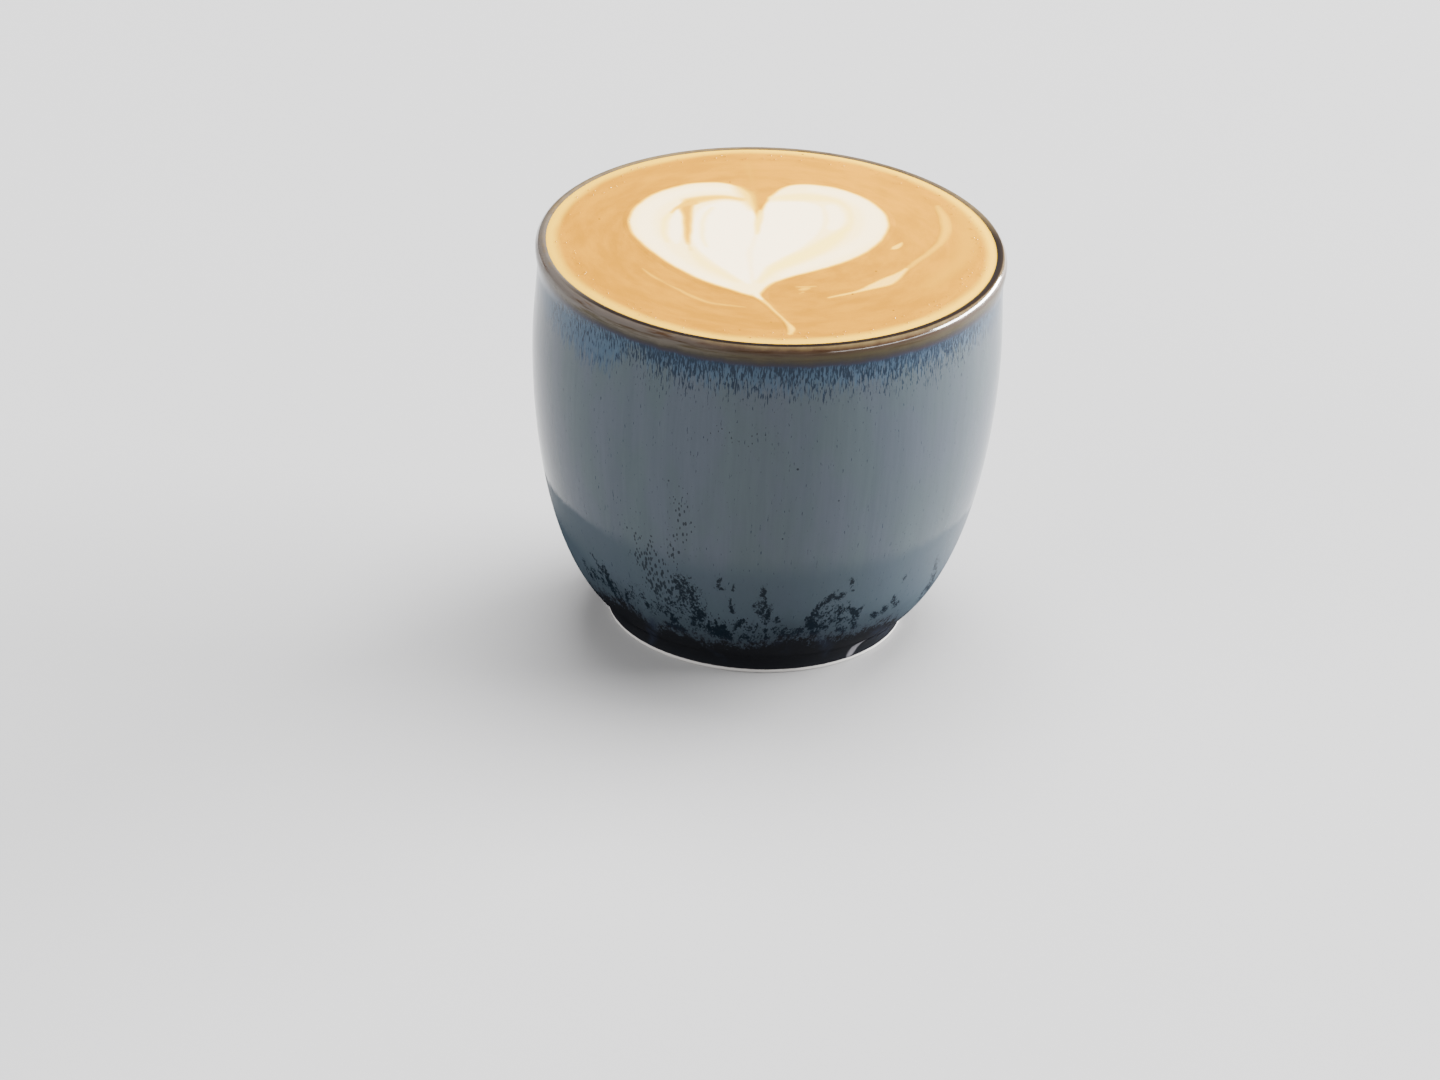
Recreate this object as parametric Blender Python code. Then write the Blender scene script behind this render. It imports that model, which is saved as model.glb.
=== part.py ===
"""A cortado in a handleless stoneware cup, with a heart poured in milk foam.

Metres, +Z up. The origin is the middle of the foot ring, on the surface that the cup stands on.
The tip of the heart points to -Y. The cup, the coffee and each poured shape are separate solids.
"""

import math

import bmesh
import bpy
from mathutils import Vector

# Driving dimensions of the cup
RIM_RADIUS = 0.0360
CUP_HEIGHT = 0.0620
WALL = 0.0031
LIP_HALF_THICKNESS = 0.0011
LIP_HALF_HEIGHT = 0.0014
NECK_RADIUS = 0.0356
NECK_HEIGHT = 0.0574
BELLY_RADIUS = 0.03593
BELLY_HEIGHT = 0.0465

# The side below the belly: radius = belly * (1 - (drop / depth) ** power) ** (1 / root)
SIDE_DEPTH = 0.0476
SIDE_POWER = 1.80
SIDE_ROOT = 4.50

# Foot ring and floor
FOOT_RADIUS = 0.0228
FOOT_TOP = 0.0037
FOOT_CHAMFER = 0.0004
RING_WIDTH = 0.0036
RECESS_DEPTH = 0.0017
RECESS_SLOPE = 0.0012
FLOOR_HEIGHT = 0.0060

# The drink
CLEARANCE = 0.0003
DRINK_LEVEL = CUP_HEIGHT - 0.0001
MENISCUS_DROP = 0.0004
MENISCUS_WIDTH = 0.0018
HEART_DEPTH = 0.0022
SWIRL_DEPTH = 0.0012
FOAM_RISE = 0.00015
STREAK_DEPTH = 0.0007

# Fineness of the turned shapes and of the poured outlines
TURN_STEPS = 72
SIDE_STEPS = 12
INSIDE_STEPS = 9
LIP_STEPS = 8
NECK_STEPS = 3
FOOT_STEPS = 4
MENISCUS_STEPS = 4
OUTLINE_STEPS = 5
MERGE = 0.00001

MM = 0.001

# The poured heart in millimetres, seen from above, from its tip round the left lobe to the tip again
HEART_KNOTS = (
    (-1.7, -18.7), (-8.9, -15.3), (-16.0, -8.6), (-20.9, 0.8), (-21.5, 10.0), (-17.2, 18.2),
    (-9.9, 21.1), (-4.5, 18.6), (-3.1, 13.0), (-2.8, 9.2), (-2.1, 8.5), (-1.4, 9.2), (-1.1, 12.8), (0.3, 18.4),
    (5.8, 21.7), (13.2, 19.1), (17.4, 11.0), (16.3, 1.8), (10.1, -6.7), (2.4, -12.7), (-0.4, -16.2),
)

# The crema streak between the lobes of the left side, along its middle: x, y and half width
STREAK_SPINE = (
    (-8.6, 15.6, 0.30), (-11.6, 15.0, 0.50), (-13.6, 12.6, 0.80), (-13.7, 7.5, 0.65),
    (-13.2, 1.5, 0.45), (-12.0, -3.4, 0.30),
)

# The thin swirl to the right of the heart, along its middle: x, y and half width
SWIRL_SPINE = (
    (26.2, 17.0, 0.30), (26.9, 9.0, 0.55), (25.3, 2.0, 0.35), (22.0, -4.4, 0.35),
    (18.4, -10.2, 1.05), (14.6, -14.6, 0.75), (9.2, -17.6, 0.30),
)

# The tail that the last of the milk drew away from the tip: x, y and half width
TAIL_SPINE = (
    (-1.6, -16.6, 0.60), (0.2, -21.2, 0.38), (2.6, -26.0, 0.34), (3.5, -29.6, 0.55),
)

GLAZE = ((0.165, 0.225, 0.285), 0.22)
CREMA = ((0.78, 0.47, 0.17), 0.45)
MILK = ((0.95, 0.86, 0.70), 0.50)


def clear_scene():
    """Remove every object that is in the scene."""
    for obj in list(bpy.data.objects):
        bpy.data.objects.remove(obj, do_unlink=True)


def material(name, look, metallic=0.0):
    """A plain material from a colour and a roughness."""
    colour, roughness = look
    made = bpy.data.materials.new(name)
    made.use_nodes = True
    shader = made.node_tree.nodes["Principled BSDF"]
    shader.inputs["Base Color"].default_value = (*colour, 1.0)
    shader.inputs["Roughness"].default_value = roughness
    shader.inputs["Metallic"].default_value = metallic
    return made


def steps(first, last, count):
    """count + 1 values from first to last."""
    return [first + (last - first) * i / count for i in range(count + 1)]


def smooth(share):
    """A share from 0 to 1, eased at both ends."""
    return share * share * (3 - 2 * share)


def side_radius(height, belly, depth):
    """The radius of a bowl-shaped side at a height below the belly."""
    drop = max(0.0, BELLY_HEIGHT - height) / depth
    return belly * max(0.0, 1 - drop**SIDE_POWER) ** (1 / SIDE_ROOT)


def neck_radius(height, belly, neck):
    """The radius between the belly and the neck under the lip."""
    share = (height - BELLY_HEIGHT) / (NECK_HEIGHT - BELLY_HEIGHT)
    return belly + (neck - belly) * smooth(share)


def outer_profile():
    """(radius, height) points of the outside, from the lip's widest point down to the foot ring."""
    lip_side = CUP_HEIGHT - LIP_HALF_HEIGHT
    lip_flare = [
        (NECK_RADIUS + (RIM_RADIUS - NECK_RADIUS) * smooth(share), NECK_HEIGHT + (lip_side - NECK_HEIGHT) * share)
        for share in steps(1.0, 0.0, NECK_STEPS)[:-1]
    ]
    neck = [
        (neck_radius(z, BELLY_RADIUS, NECK_RADIUS), z)
        for z in steps(NECK_HEIGHT, BELLY_HEIGHT, NECK_STEPS)[:-1]
    ]
    side = [
        (side_radius(z, BELLY_RADIUS, SIDE_DEPTH), z)
        for z in (FOOT_TOP + (BELLY_HEIGHT - FOOT_TOP) * share**1.5 for share in steps(1.0, 0.0, SIDE_STEPS))
    ]
    return lip_flare + neck + side + foot_fillet(side[-2], side[-1])


def foot_fillet(before, last):
    """(radius, height) points of the hollow curve that leads the side into the upright foot."""
    slope = (before[1] - last[1]) / (before[0] - last[0])
    corner = last[1] - slope * (last[0] - FOOT_RADIUS)
    low = 2 * FOOT_CHAMFER
    return [
        (
            (1 - t) ** 2 * last[0] + (1 - (1 - t) ** 2) * FOOT_RADIUS,
            (1 - t) ** 2 * last[1] + 2 * t * (1 - t) * corner + t**2 * low,
        )
        for t in steps(0.0, 1.0, FOOT_STEPS)[1:]
    ]


def lip_profile():
    """(radius, height) points over the rounded lip, from its inner side to just before its widest point."""
    middle = RIM_RADIUS - LIP_HALF_THICKNESS
    turn = steps(math.pi, 0.0, LIP_STEPS)[:-1]
    return [
        (middle + LIP_HALF_THICKNESS * math.cos(a), CUP_HEIGHT - LIP_HALF_HEIGHT * (1 - math.sin(a)))
        for a in turn
    ]


def inner_profile():
    """(radius, height) points of the inside, from the middle of the floor up to the lip."""
    inside = BELLY_RADIUS - WALL
    depth = BELLY_HEIGHT - FLOOR_HEIGHT
    bowl = [
        (side_radius(FLOOR_HEIGHT + depth * share**2.4, inside, depth), FLOOR_HEIGHT + depth * share**2.4)
        for share in steps(0.0, 1.0, INSIDE_STEPS)
    ]
    lip_foot = (RIM_RADIUS - 2 * LIP_HALF_THICKNESS, CUP_HEIGHT - LIP_HALF_HEIGHT)
    upper = [
        (inside + (lip_foot[0] - inside) * smooth(share), BELLY_HEIGHT + (lip_foot[1] - BELLY_HEIGHT) * share)
        for share in steps(0.0, 1.0, NECK_STEPS)[1:-1]
    ]
    return bowl + upper


def foot_profile():
    """(radius, height) points of the foot ring and the recess under the floor."""
    ring_inside = FOOT_RADIUS - RING_WIDTH
    return [
        (FOOT_RADIUS, FOOT_CHAMFER),
        (FOOT_RADIUS - FOOT_CHAMFER, 0.0),
        (ring_inside + FOOT_CHAMFER, 0.0),
        (ring_inside, FOOT_CHAMFER),
        (ring_inside - RECESS_SLOPE, RECESS_DEPTH),
        (0.0, RECESS_DEPTH),
    ]


def turned(name, profile, finish):
    """A solid turned about Z from a profile that starts and ends on the axis."""
    shape = bmesh.new()
    points = [shape.verts.new((radius, 0.0, height)) for radius, height in profile]
    edges = [shape.edges.new(pair) for pair in zip(points, points[1:])]
    bmesh.ops.spin(
        shape, geom=points + edges, axis=(0, 0, 1), cent=(0, 0, 0), angle=2 * math.pi, steps=TURN_STEPS
    )
    bmesh.ops.remove_doubles(shape, verts=shape.verts, dist=MERGE)
    bmesh.ops.recalc_face_normals(shape, faces=shape.faces)
    return linked(name, shape, finish)


def linked(name, shape, finish):
    """The object of a finished shape, shaded smooth except at its sharp edges."""
    mesh = bpy.data.meshes.new(name)
    shape.to_mesh(mesh)
    shape.free()
    mesh.shade_smooth()
    mesh.set_sharp_from_angle(angle=math.radians(35))
    obj = bpy.data.objects.new(name, mesh)
    bpy.context.scene.collection.objects.link(obj)
    if finish:
        obj.data.materials.append(finish)
    return obj


def offset_inwards(profile, gap):
    """The points of an inside profile, moved by gap away from the wall."""
    moved = []
    for i, point in enumerate(profile):
        before, after = profile[max(0, i - 1)], profile[min(len(profile) - 1, i + 1)]
        along = Vector(after) - Vector(before)
        normal = Vector((-along.y, along.x)).normalized()
        moved.append((max(0.0, point[0] + gap * normal.x), point[1] + gap * normal.y))
    moved[0] = (0.0, profile[0][1] + gap)
    return moved


def coffee_profile():
    """(radius, height) points of the drink: up along the inside of the cup and in across its top."""
    wall = offset_inwards(inner_profile() + lip_profile()[: LIP_STEPS // 2], CLEARANCE)
    edge_height = DRINK_LEVEL - MENISCUS_DROP
    wall = [point for point in wall if point[1] < edge_height - MERGE]
    edge_radius = wall[-1][0]
    meniscus = [
        (
            edge_radius - MENISCUS_WIDTH * (1 - math.cos(a)),
            edge_height + MENISCUS_DROP * math.sin(a),
        )
        for a in steps(0.0, math.pi / 2, MENISCUS_STEPS)
    ]
    return wall + meniscus + [(0.0, DRINK_LEVEL)]


def curve_through(knots, closed):
    """Points of a smooth line through the knots, OUTLINE_STEPS for each stretch."""
    count = len(knots)
    points = []
    for i in range(count if closed else count - 1):
        if closed:
            a, b, c, d = (Vector(knots[(i + k) % count]) for k in (-1, 0, 1, 2))
        else:
            a, b, c, d = (Vector(knots[min(max(i + k, 0), count - 1)]) for k in (-1, 0, 1, 2))
        for t in steps(0.0, 1.0, OUTLINE_STEPS)[:-1]:
            points.append(
                0.5 * (2 * b + (c - a) * t + (2 * a - 5 * b + 4 * c - d) * t**2 + (3 * b - a - 3 * c + d) * t**3)
            )
    if not closed:
        points.append(Vector(knots[-1]))
    return points


def ribbon_outline(spine, grow=0.0):
    """The closed outline, in millimetres, of a ribbon that follows a spine of x, y and half width."""
    middle = curve_through(spine, closed=False)
    left, right = [], []
    for i, point in enumerate(middle):
        along = (middle[min(i + 1, len(middle) - 1)] - middle[max(i - 1, 0)]).xy.normalized()
        across = Vector((-along.y, along.x)) * (point.z + grow)
        left.append(point.xy + across)
        right.append(point.xy - across)
    first_end = middle[0].xy - (middle[1] - middle[0]).xy.normalized() * (middle[0].z + grow)
    last_end = middle[-1].xy + (middle[-1] - middle[-2]).xy.normalized() * (middle[-1].z + grow)
    return [first_end] + right + [last_end] + left[::-1]


def grown_outline(outline, grow):
    """A closed outline, in millimetres, moved outwards by grow."""
    count = len(outline)
    area = sum(outline[i].cross(outline[(i + 1) % count]) for i in range(count))
    side = 1.0 if area > 0 else -1.0
    moved = []
    for i, point in enumerate(outline):
        along = (outline[(i + 1) % count] - outline[i - 1]).normalized()
        moved.append(point + Vector((along.y, -along.x)) * side * grow)
    return moved


def prism(name, outline, bottom, top, finish=None):
    """A flat-topped solid from a closed outline in millimetres and its lowest and highest height in metres."""
    shape = bmesh.new()
    face = shape.faces.new([shape.verts.new((x * MM, y * MM, bottom)) for x, y in outline])
    raised = bmesh.ops.extrude_face_region(shape, geom=[face])
    lifted = [item for item in raised["geom"] if isinstance(item, bmesh.types.BMVert)]
    bmesh.ops.translate(shape, verts=lifted, vec=(0, 0, top - bottom))
    bmesh.ops.triangulate(shape, faces=[f for f in shape.faces if len(f.verts) > 4])
    bmesh.ops.recalc_face_normals(shape, faces=shape.faces)
    return linked(name, shape, finish)


def helper(obj):
    """Marks an object as a tool that shapes others and isn't part of the model."""
    obj.hide_render = True
    obj.display_type = "WIRE"
    return obj


def add_boolean(obj, tool, operation):
    """Joins a tool to an object or cuts it away."""
    modifier = obj.modifiers.new(tool.name, "BOOLEAN")
    modifier.operation = operation
    modifier.solver = "EXACT"
    modifier.object = tool


def make_cup(glaze):
    """The turned cup, from the recess under its floor up the outside, over the lip and down the inside."""
    profile = foot_profile()[::-1] + outer_profile()[::-1] + lip_profile()[::-1] + inner_profile()[::-1]
    return turned("cup", profile, glaze)


def make_heart(milk):
    """The poured heart with its tail, and the crema streak let into its left lobe."""
    outline = curve_through(HEART_KNOTS, closed=True)
    top = DRINK_LEVEL + FOAM_RISE
    bottom = DRINK_LEVEL - HEART_DEPTH
    heart = prism("milk_heart", outline, bottom, top, milk)
    tail = helper(prism("tail_tool", ribbon_outline(TAIL_SPINE), bottom + CLEARANCE, top - MERGE))
    streak = helper(prism("streak_tool", ribbon_outline(STREAK_SPINE), top - STREAK_DEPTH, top + CLEARANCE))
    add_boolean(heart, tail, "UNION")
    add_boolean(heart, streak, "DIFFERENCE")
    return heart


def make_swirl(milk):
    """The thin swirl of milk foam at the right of the heart."""
    return prism(
        "milk_swirl", ribbon_outline(SWIRL_SPINE), DRINK_LEVEL - SWIRL_DEPTH, DRINK_LEVEL + FOAM_RISE, milk
    )


def make_coffee(crema):
    """The drink, with a shallow pocket under each poured shape."""
    coffee = turned("coffee", coffee_profile(), crema)
    above = DRINK_LEVEL + 10 * CLEARANCE
    gap = CLEARANCE / MM
    heart_outline = grown_outline(curve_through(HEART_KNOTS, closed=True), gap)
    pockets = (
        ("heart_pocket", heart_outline, HEART_DEPTH),
        ("tail_pocket", ribbon_outline(TAIL_SPINE, gap), HEART_DEPTH - CLEARANCE),
        ("swirl_pocket", ribbon_outline(SWIRL_SPINE, gap), SWIRL_DEPTH),
    )
    for name, outline, depth in pockets:
        tool = helper(prism(name, outline, DRINK_LEVEL - depth - CLEARANCE, above))
        add_boolean(coffee, tool, "DIFFERENCE")
    return coffee


def main():
    """Build the cup, the drink and the poured shapes."""
    clear_scene()
    milk = material("milk_foam", MILK)
    make_cup(material("reactive_glaze", GLAZE))
    make_coffee(material("crema", CREMA))
    make_heart(milk)
    make_swirl(milk)


main()
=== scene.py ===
"""The looks of a cortado in its handleless glazed cup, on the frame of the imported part."""

import logging
import math
from collections.abc import Sequence
from dataclasses import dataclass, field, replace
from enum import Enum
from typing import ClassVar

import bmesh
import bpy
import numpy as np
from mathutils import Matrix, Vector
from mathutils.geometry import delaunay_2d_cdt


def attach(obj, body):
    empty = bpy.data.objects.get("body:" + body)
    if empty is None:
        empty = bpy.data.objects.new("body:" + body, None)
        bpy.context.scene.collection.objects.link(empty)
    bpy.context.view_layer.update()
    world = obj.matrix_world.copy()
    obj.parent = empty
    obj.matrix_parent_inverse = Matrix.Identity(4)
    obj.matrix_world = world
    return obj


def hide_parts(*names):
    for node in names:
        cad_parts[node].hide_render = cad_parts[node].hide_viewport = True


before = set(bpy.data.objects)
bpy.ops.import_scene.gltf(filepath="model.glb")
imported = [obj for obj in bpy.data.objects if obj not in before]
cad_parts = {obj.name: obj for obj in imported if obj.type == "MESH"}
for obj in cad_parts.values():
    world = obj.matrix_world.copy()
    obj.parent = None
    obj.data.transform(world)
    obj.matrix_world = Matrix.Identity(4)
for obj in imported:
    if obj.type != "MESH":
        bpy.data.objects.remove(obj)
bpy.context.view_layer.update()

MM = 0.001
BODY = "root"

Colour = tuple[float, float, float, float]
Knot = tuple[float, ...]

log = logging.getLogger("cortado")


class Ends(Enum):
    """Whether a drawn line runs on into its own start."""

    OPEN = "open"
    CLOSED = "closed"


class Stretch(Enum):
    """How far a pattern on the cup's side is drawn out down the wall."""

    BAND = 14.0
    ROUND = 1.0
    MOSS = 0.8
    SPECK = 0.5
    CLOUD = 0.4
    DRIP = 0.17
    BRUSH = 0.06


def eased(share: np.ndarray | float) -> np.ndarray | float:
    """A share held between 0 and 1 and eased at both ends."""
    held = np.clip(share, 0.0, 1.0)
    return held * held * (3.0 - 2.0 * held)


class Field:
    """A value of a material's tree that changes over the surface, with Python's arithmetic."""

    def __init__(self, tree: "FinishTree", socket: bpy.types.NodeSocket) -> None:
        """Keeps the socket and the tree that it belongs to."""
        self.tree = tree
        self.socket = socket

    def maths(self, operation: str, *values: "Field | float") -> "Field":
        """A Math node on these values.

        Args:
            operation: The operation of the Math node.
            values: Its values, in order.

        Returns:
            The node's result.
        """
        return self.tree.node("ShaderNodeMath", {"operation": operation}, dict(enumerate(values)))

    def __add__(self, other: "Field | float") -> "Field":
        """This value plus another."""
        return self.maths("ADD", self, other)

    __radd__ = __add__

    def __sub__(self, other: "Field | float") -> "Field":
        """This value less another."""
        return self.maths("SUBTRACT", self, other)

    def __rsub__(self, other: float) -> "Field":
        """A number less this value."""
        return self.maths("SUBTRACT", other, self)

    def __mul__(self, other: "Field | float") -> "Field":
        """This value times another."""
        return self.maths("MULTIPLY", self, other)

    def __truediv__(self, other: "Field | float") -> "Field":
        """This value over another."""
        return self.maths("DIVIDE", self, other)

    def over(self, other: "Field | float") -> "Field":
        """The larger of this value and another."""
        return self.maths("MAXIMUM", self, other)

    def rises(self, low: float, high: float) -> "Field":
        """An eased rise from 0 where this value is low to 1 where it is high.

        Args:
            low: The value at which the rise starts.
            high: The value at which it ends. It may be below low, for a fall.

        Returns:
            The share, from 0 to 1.
        """
        ends = (low, high, 0.0, 1.0) if low < high else (high, low, 1.0, 0.0)
        sockets = {"Value": self, **dict(zip(("From Min", "From Max", "To Min", "To Max"), ends))}
        return self.tree.node("ShaderNodeMapRange", {"interpolation_type": "SMOOTHSTEP"}, sockets)


@dataclass
class Layer:
    """A colour laid over those below it, where a share is high."""

    colour: "Field | Colour"
    share: Field
    strength: float = 1.0


class FinishTree:
    """The node tree of one material."""

    def __init__(self, name: str) -> None:
        """Makes the material and finds its shader."""
        self.material = bpy.data.materials.new(name)
        self.material.use_nodes = True
        self.nodes = self.material.node_tree.nodes
        self.links = self.material.node_tree.links
        self.shader = self.nodes["Principled BSDF"]

    def node(
        self,
        kind: str,
        settings: dict[str, object] | None = None,
        sockets: dict[int | str, object] | None = None,
        output: int | str = 0,
    ) -> Field:
        """Makes any node, with its settings first and its sockets after them.

        Args:
            kind: The node's type.
            settings: Its properties, and "stops" for a ramp: pairs of place and colour.
            sockets: Values or fields by the socket's index, name or identifier.
            output: The index or name of the output that is wanted.

        Returns:
            The output as a field.
        """
        made = self.nodes.new(kind)
        for key, value in (settings or {}).items():
            if key == "stops":
                self._set_stops(made.color_ramp.elements, value)
            else:
                setattr(made, key, value)
        for key, value in (sockets or {}).items():
            self._feed(self._find(made.inputs, key), value)
        return Field(self, self._find(made.outputs, output))

    @staticmethod
    def _set_stops(elements: bpy.types.ColorRampElements, stops: Sequence[tuple[float, Colour]]) -> None:
        """Sets the stops of a ramp.

        Args:
            elements: The ramp's own stops.
            stops: Pairs of place and colour.
        """
        while len(elements) < len(stops):
            elements.new(1.0)
        for element, (place, colour) in zip(elements, stops):
            element.position = place
            element.color = colour

    @staticmethod
    def _find(found: bpy.types.bpy_prop_collection, key: int | str) -> bpy.types.NodeSocket:
        """One socket of a node.

        Args:
            found: The node's inputs or outputs.
            key: The socket's index, identifier or name.

        Returns:
            The socket.
        """
        if isinstance(key, int):
            return found[key]
        return next(s for s in found if s.identifier == key or (s.name == key and s.enabled))

    def _feed(self, socket: bpy.types.NodeSocket, value: object) -> None:
        """Links a field to a socket, or sets the socket to a value.

        Args:
            socket: The socket.
            value: The field or value.
        """
        if isinstance(value, Field):
            self.links.new(value.socket, socket)
        else:
            socket.default_value = value

    def finish(self, sockets: dict[str, object]) -> bpy.types.Material:
        """Feeds the shader and hands over the material.

        Args:
            sockets: What the shader is fed, by the socket's name.

        Returns:
            The material.
        """
        for key, value in sockets.items():
            self._feed(self.shader.inputs[key], value)
        return self.material

    def veil(self, share: Field, sockets: dict[str, object]) -> None:
        """Lays a second shader over the first.

        Args:
            share: How much of the second shader shows.
            sockets: What the second shader is fed, by the socket's name.
        """
        second = self.nodes.new("ShaderNodeBsdfPrincipled")
        for key, value in sockets.items():
            self._feed(second.inputs[key], value)
        blended = self.nodes.new("ShaderNodeMixShader")
        self._feed(blended.inputs[0], share)
        self.links.new(self.shader.outputs[0], blended.inputs[1])
        self.links.new(second.outputs[0], blended.inputs[2])
        self.links.new(blended.outputs[0], self.nodes["Material Output"].inputs["Surface"])

    def mix(self, share: Field | float, below: Field | Colour, above: Field | Colour) -> Field:
        """Lays one colour over another.

        Args:
            share: How much of the upper colour shows.
            below: The lower colour.
            above: The upper colour.

        Returns:
            The mixed colour.
        """
        settings = {"data_type": "RGBA", "clamp_factor": True}
        sockets = {"Factor_Float": share, "A_Color": below, "B_Color": above}
        return self.node("ShaderNodeMix", settings, sockets, "Result_Color")

    def laid(self, ground: Field | Colour, layers: Sequence[Layer]) -> Field:
        """Lays colours one after another over a ground.

        Args:
            ground: The lowest colour.
            layers: The others, from the lowest up.

        Returns:
            The colour that shows.
        """
        for layer in layers:
            ground = self.mix(layer.share * layer.strength, ground, layer.colour)
        return ground

    def ramp(self, stops: Sequence[tuple[float, Colour]], at: Field) -> Field:
        """The colour of a ramp at a value."""
        return self.node("ShaderNodeValToRGB", {"stops": stops}, {0: at})

    def noise(
        self, place: Field, size: float, detail: float = 2.0, roughness: float = 0.5, bend: float = 0.0
    ) -> Field:
        """A cloudy pattern.

        Args:
            place: The coordinates, in millimetres.
            size: The size of a cloud, in millimetres.
            detail: How many finer layers it has.
            roughness: How strong they are.
            bend: How far it is bent out of shape.

        Returns:
            A value about 0.5.
        """
        sockets = {"Scale": 1 / size, "Detail": detail, "Roughness": roughness, "Distortion": bend}
        return self.node("ShaderNodeTexNoise", {}, {"Vector": place, **sockets})

    def cells(self, place: Field, size: float) -> Field:
        """The distance to the nearest of some points scattered a size in millimetres apart."""
        return self.node("ShaderNodeTexVoronoi", {}, {"Vector": place, "Scale": 1 / size}, "Distance")

    def vector(self, operation: str, *values: object, output: int | str = 0, **sockets: object) -> Field:
        """A Vector Math node on these values."""
        fed = {**dict(enumerate(values)), **sockets}
        return self.node("ShaderNodeVectorMath", {"operation": operation}, fed, output)

    def around(self, across: Field, away: Field) -> tuple[Field, Field]:
        """How far a place lies from the cup's axis, and in which direction.

        Args:
            across: The place's first coordinate.
            away: Its second one.

        Returns:
            The distance, and the direction as a vector of length 1.
        """
        flat = self.node("ShaderNodeCombineXYZ", {}, {0: across, 1: away})
        return self.vector("LENGTH", flat, output="Value"), self.vector("NORMALIZE", flat)

    def attribute(self, name: str) -> Field:
        """A field that was painted on the mesh."""
        return self.node("ShaderNodeAttribute", {"attribute_name": name}, {}, "Fac")

    def parts(self, vector: Field) -> tuple[Field, Field, Field]:
        """The three numbers of a vector."""
        split = self.node("ShaderNodeSeparateXYZ", {}, {0: vector}).socket.node
        return tuple(Field(self, output) for output in split.outputs)

    def place(self) -> Field:
        """The object's coordinates in millimetres."""
        return self.vector("SCALE", self.node("ShaderNodeTexCoord", output="Object"), Scale=1 / MM)

    def bump(self, height: Field, rise: float) -> Field:
        """A bumpy normal from a height field whose full rise is given in millimetres."""
        return self.node("ShaderNodeBump", {}, {"Height": height, "Distance": rise * MM, "Strength": 1.0})


@dataclass(frozen=True)
class Weave:
    """A cloudy pattern wrapped round the cup, in millimetres."""

    stretch: Stretch
    size: float
    detail: float
    roughness: float = 0.5
    bend: float = 0.0
    lift: float = 0.0


class GlazedWall:
    """The fields that the glaze is worked out from: places on the cup, painted marks and patterns."""

    def __init__(self, tree: FinishTree, rim_radius: float) -> None:
        """Sets up the places and the marks.

        Args:
            tree: The glaze's tree.
            rim_radius: The radius that the patterns are wrapped at, in millimetres.
        """
        self.tree = tree
        self.place = tree.place()
        self.across, self.away, self.height = tree.parts(self.place)
        self.radius, outward = tree.around(self.across, self.away)
        self.ring = tree.vector("SCALE", outward, Scale=rim_radius)
        self.marks = {name: tree.attribute(name) for name in (*GlazeMarks.drawn, *GlazeMarks.edges)}
        self.patterns: dict[Weave, Field] = {}

    def wrapped(self, stretch: Stretch, lift: float = 0.0) -> Field:
        """Coordinates round the wall, drawn out down it and lifted to another part of a pattern."""
        raised = self.tree.node("ShaderNodeCombineXYZ", {}, {2: self.height * stretch.value + lift})
        return self.tree.vector("ADD", self.ring, raised)

    def woven(self, weave: Weave) -> Field:
        """A pattern's value, from one node however often it is asked for.

        Args:
            weave: The pattern.

        Returns:
            A value about 0.5.
        """
        if weave not in self.patterns:
            look = (weave.size, weave.detail, weave.roughness, weave.bend)
            self.patterns[weave] = self.tree.noise(self.wrapped(weave.stretch, weave.lift), *look)
        return self.patterns[weave]

    def swing(self, weave: Weave, reach: float) -> Field:
        """A pattern's value, moved to lie about 0 and given a reach."""
        return (self.woven(weave) - 0.5) * reach


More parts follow.
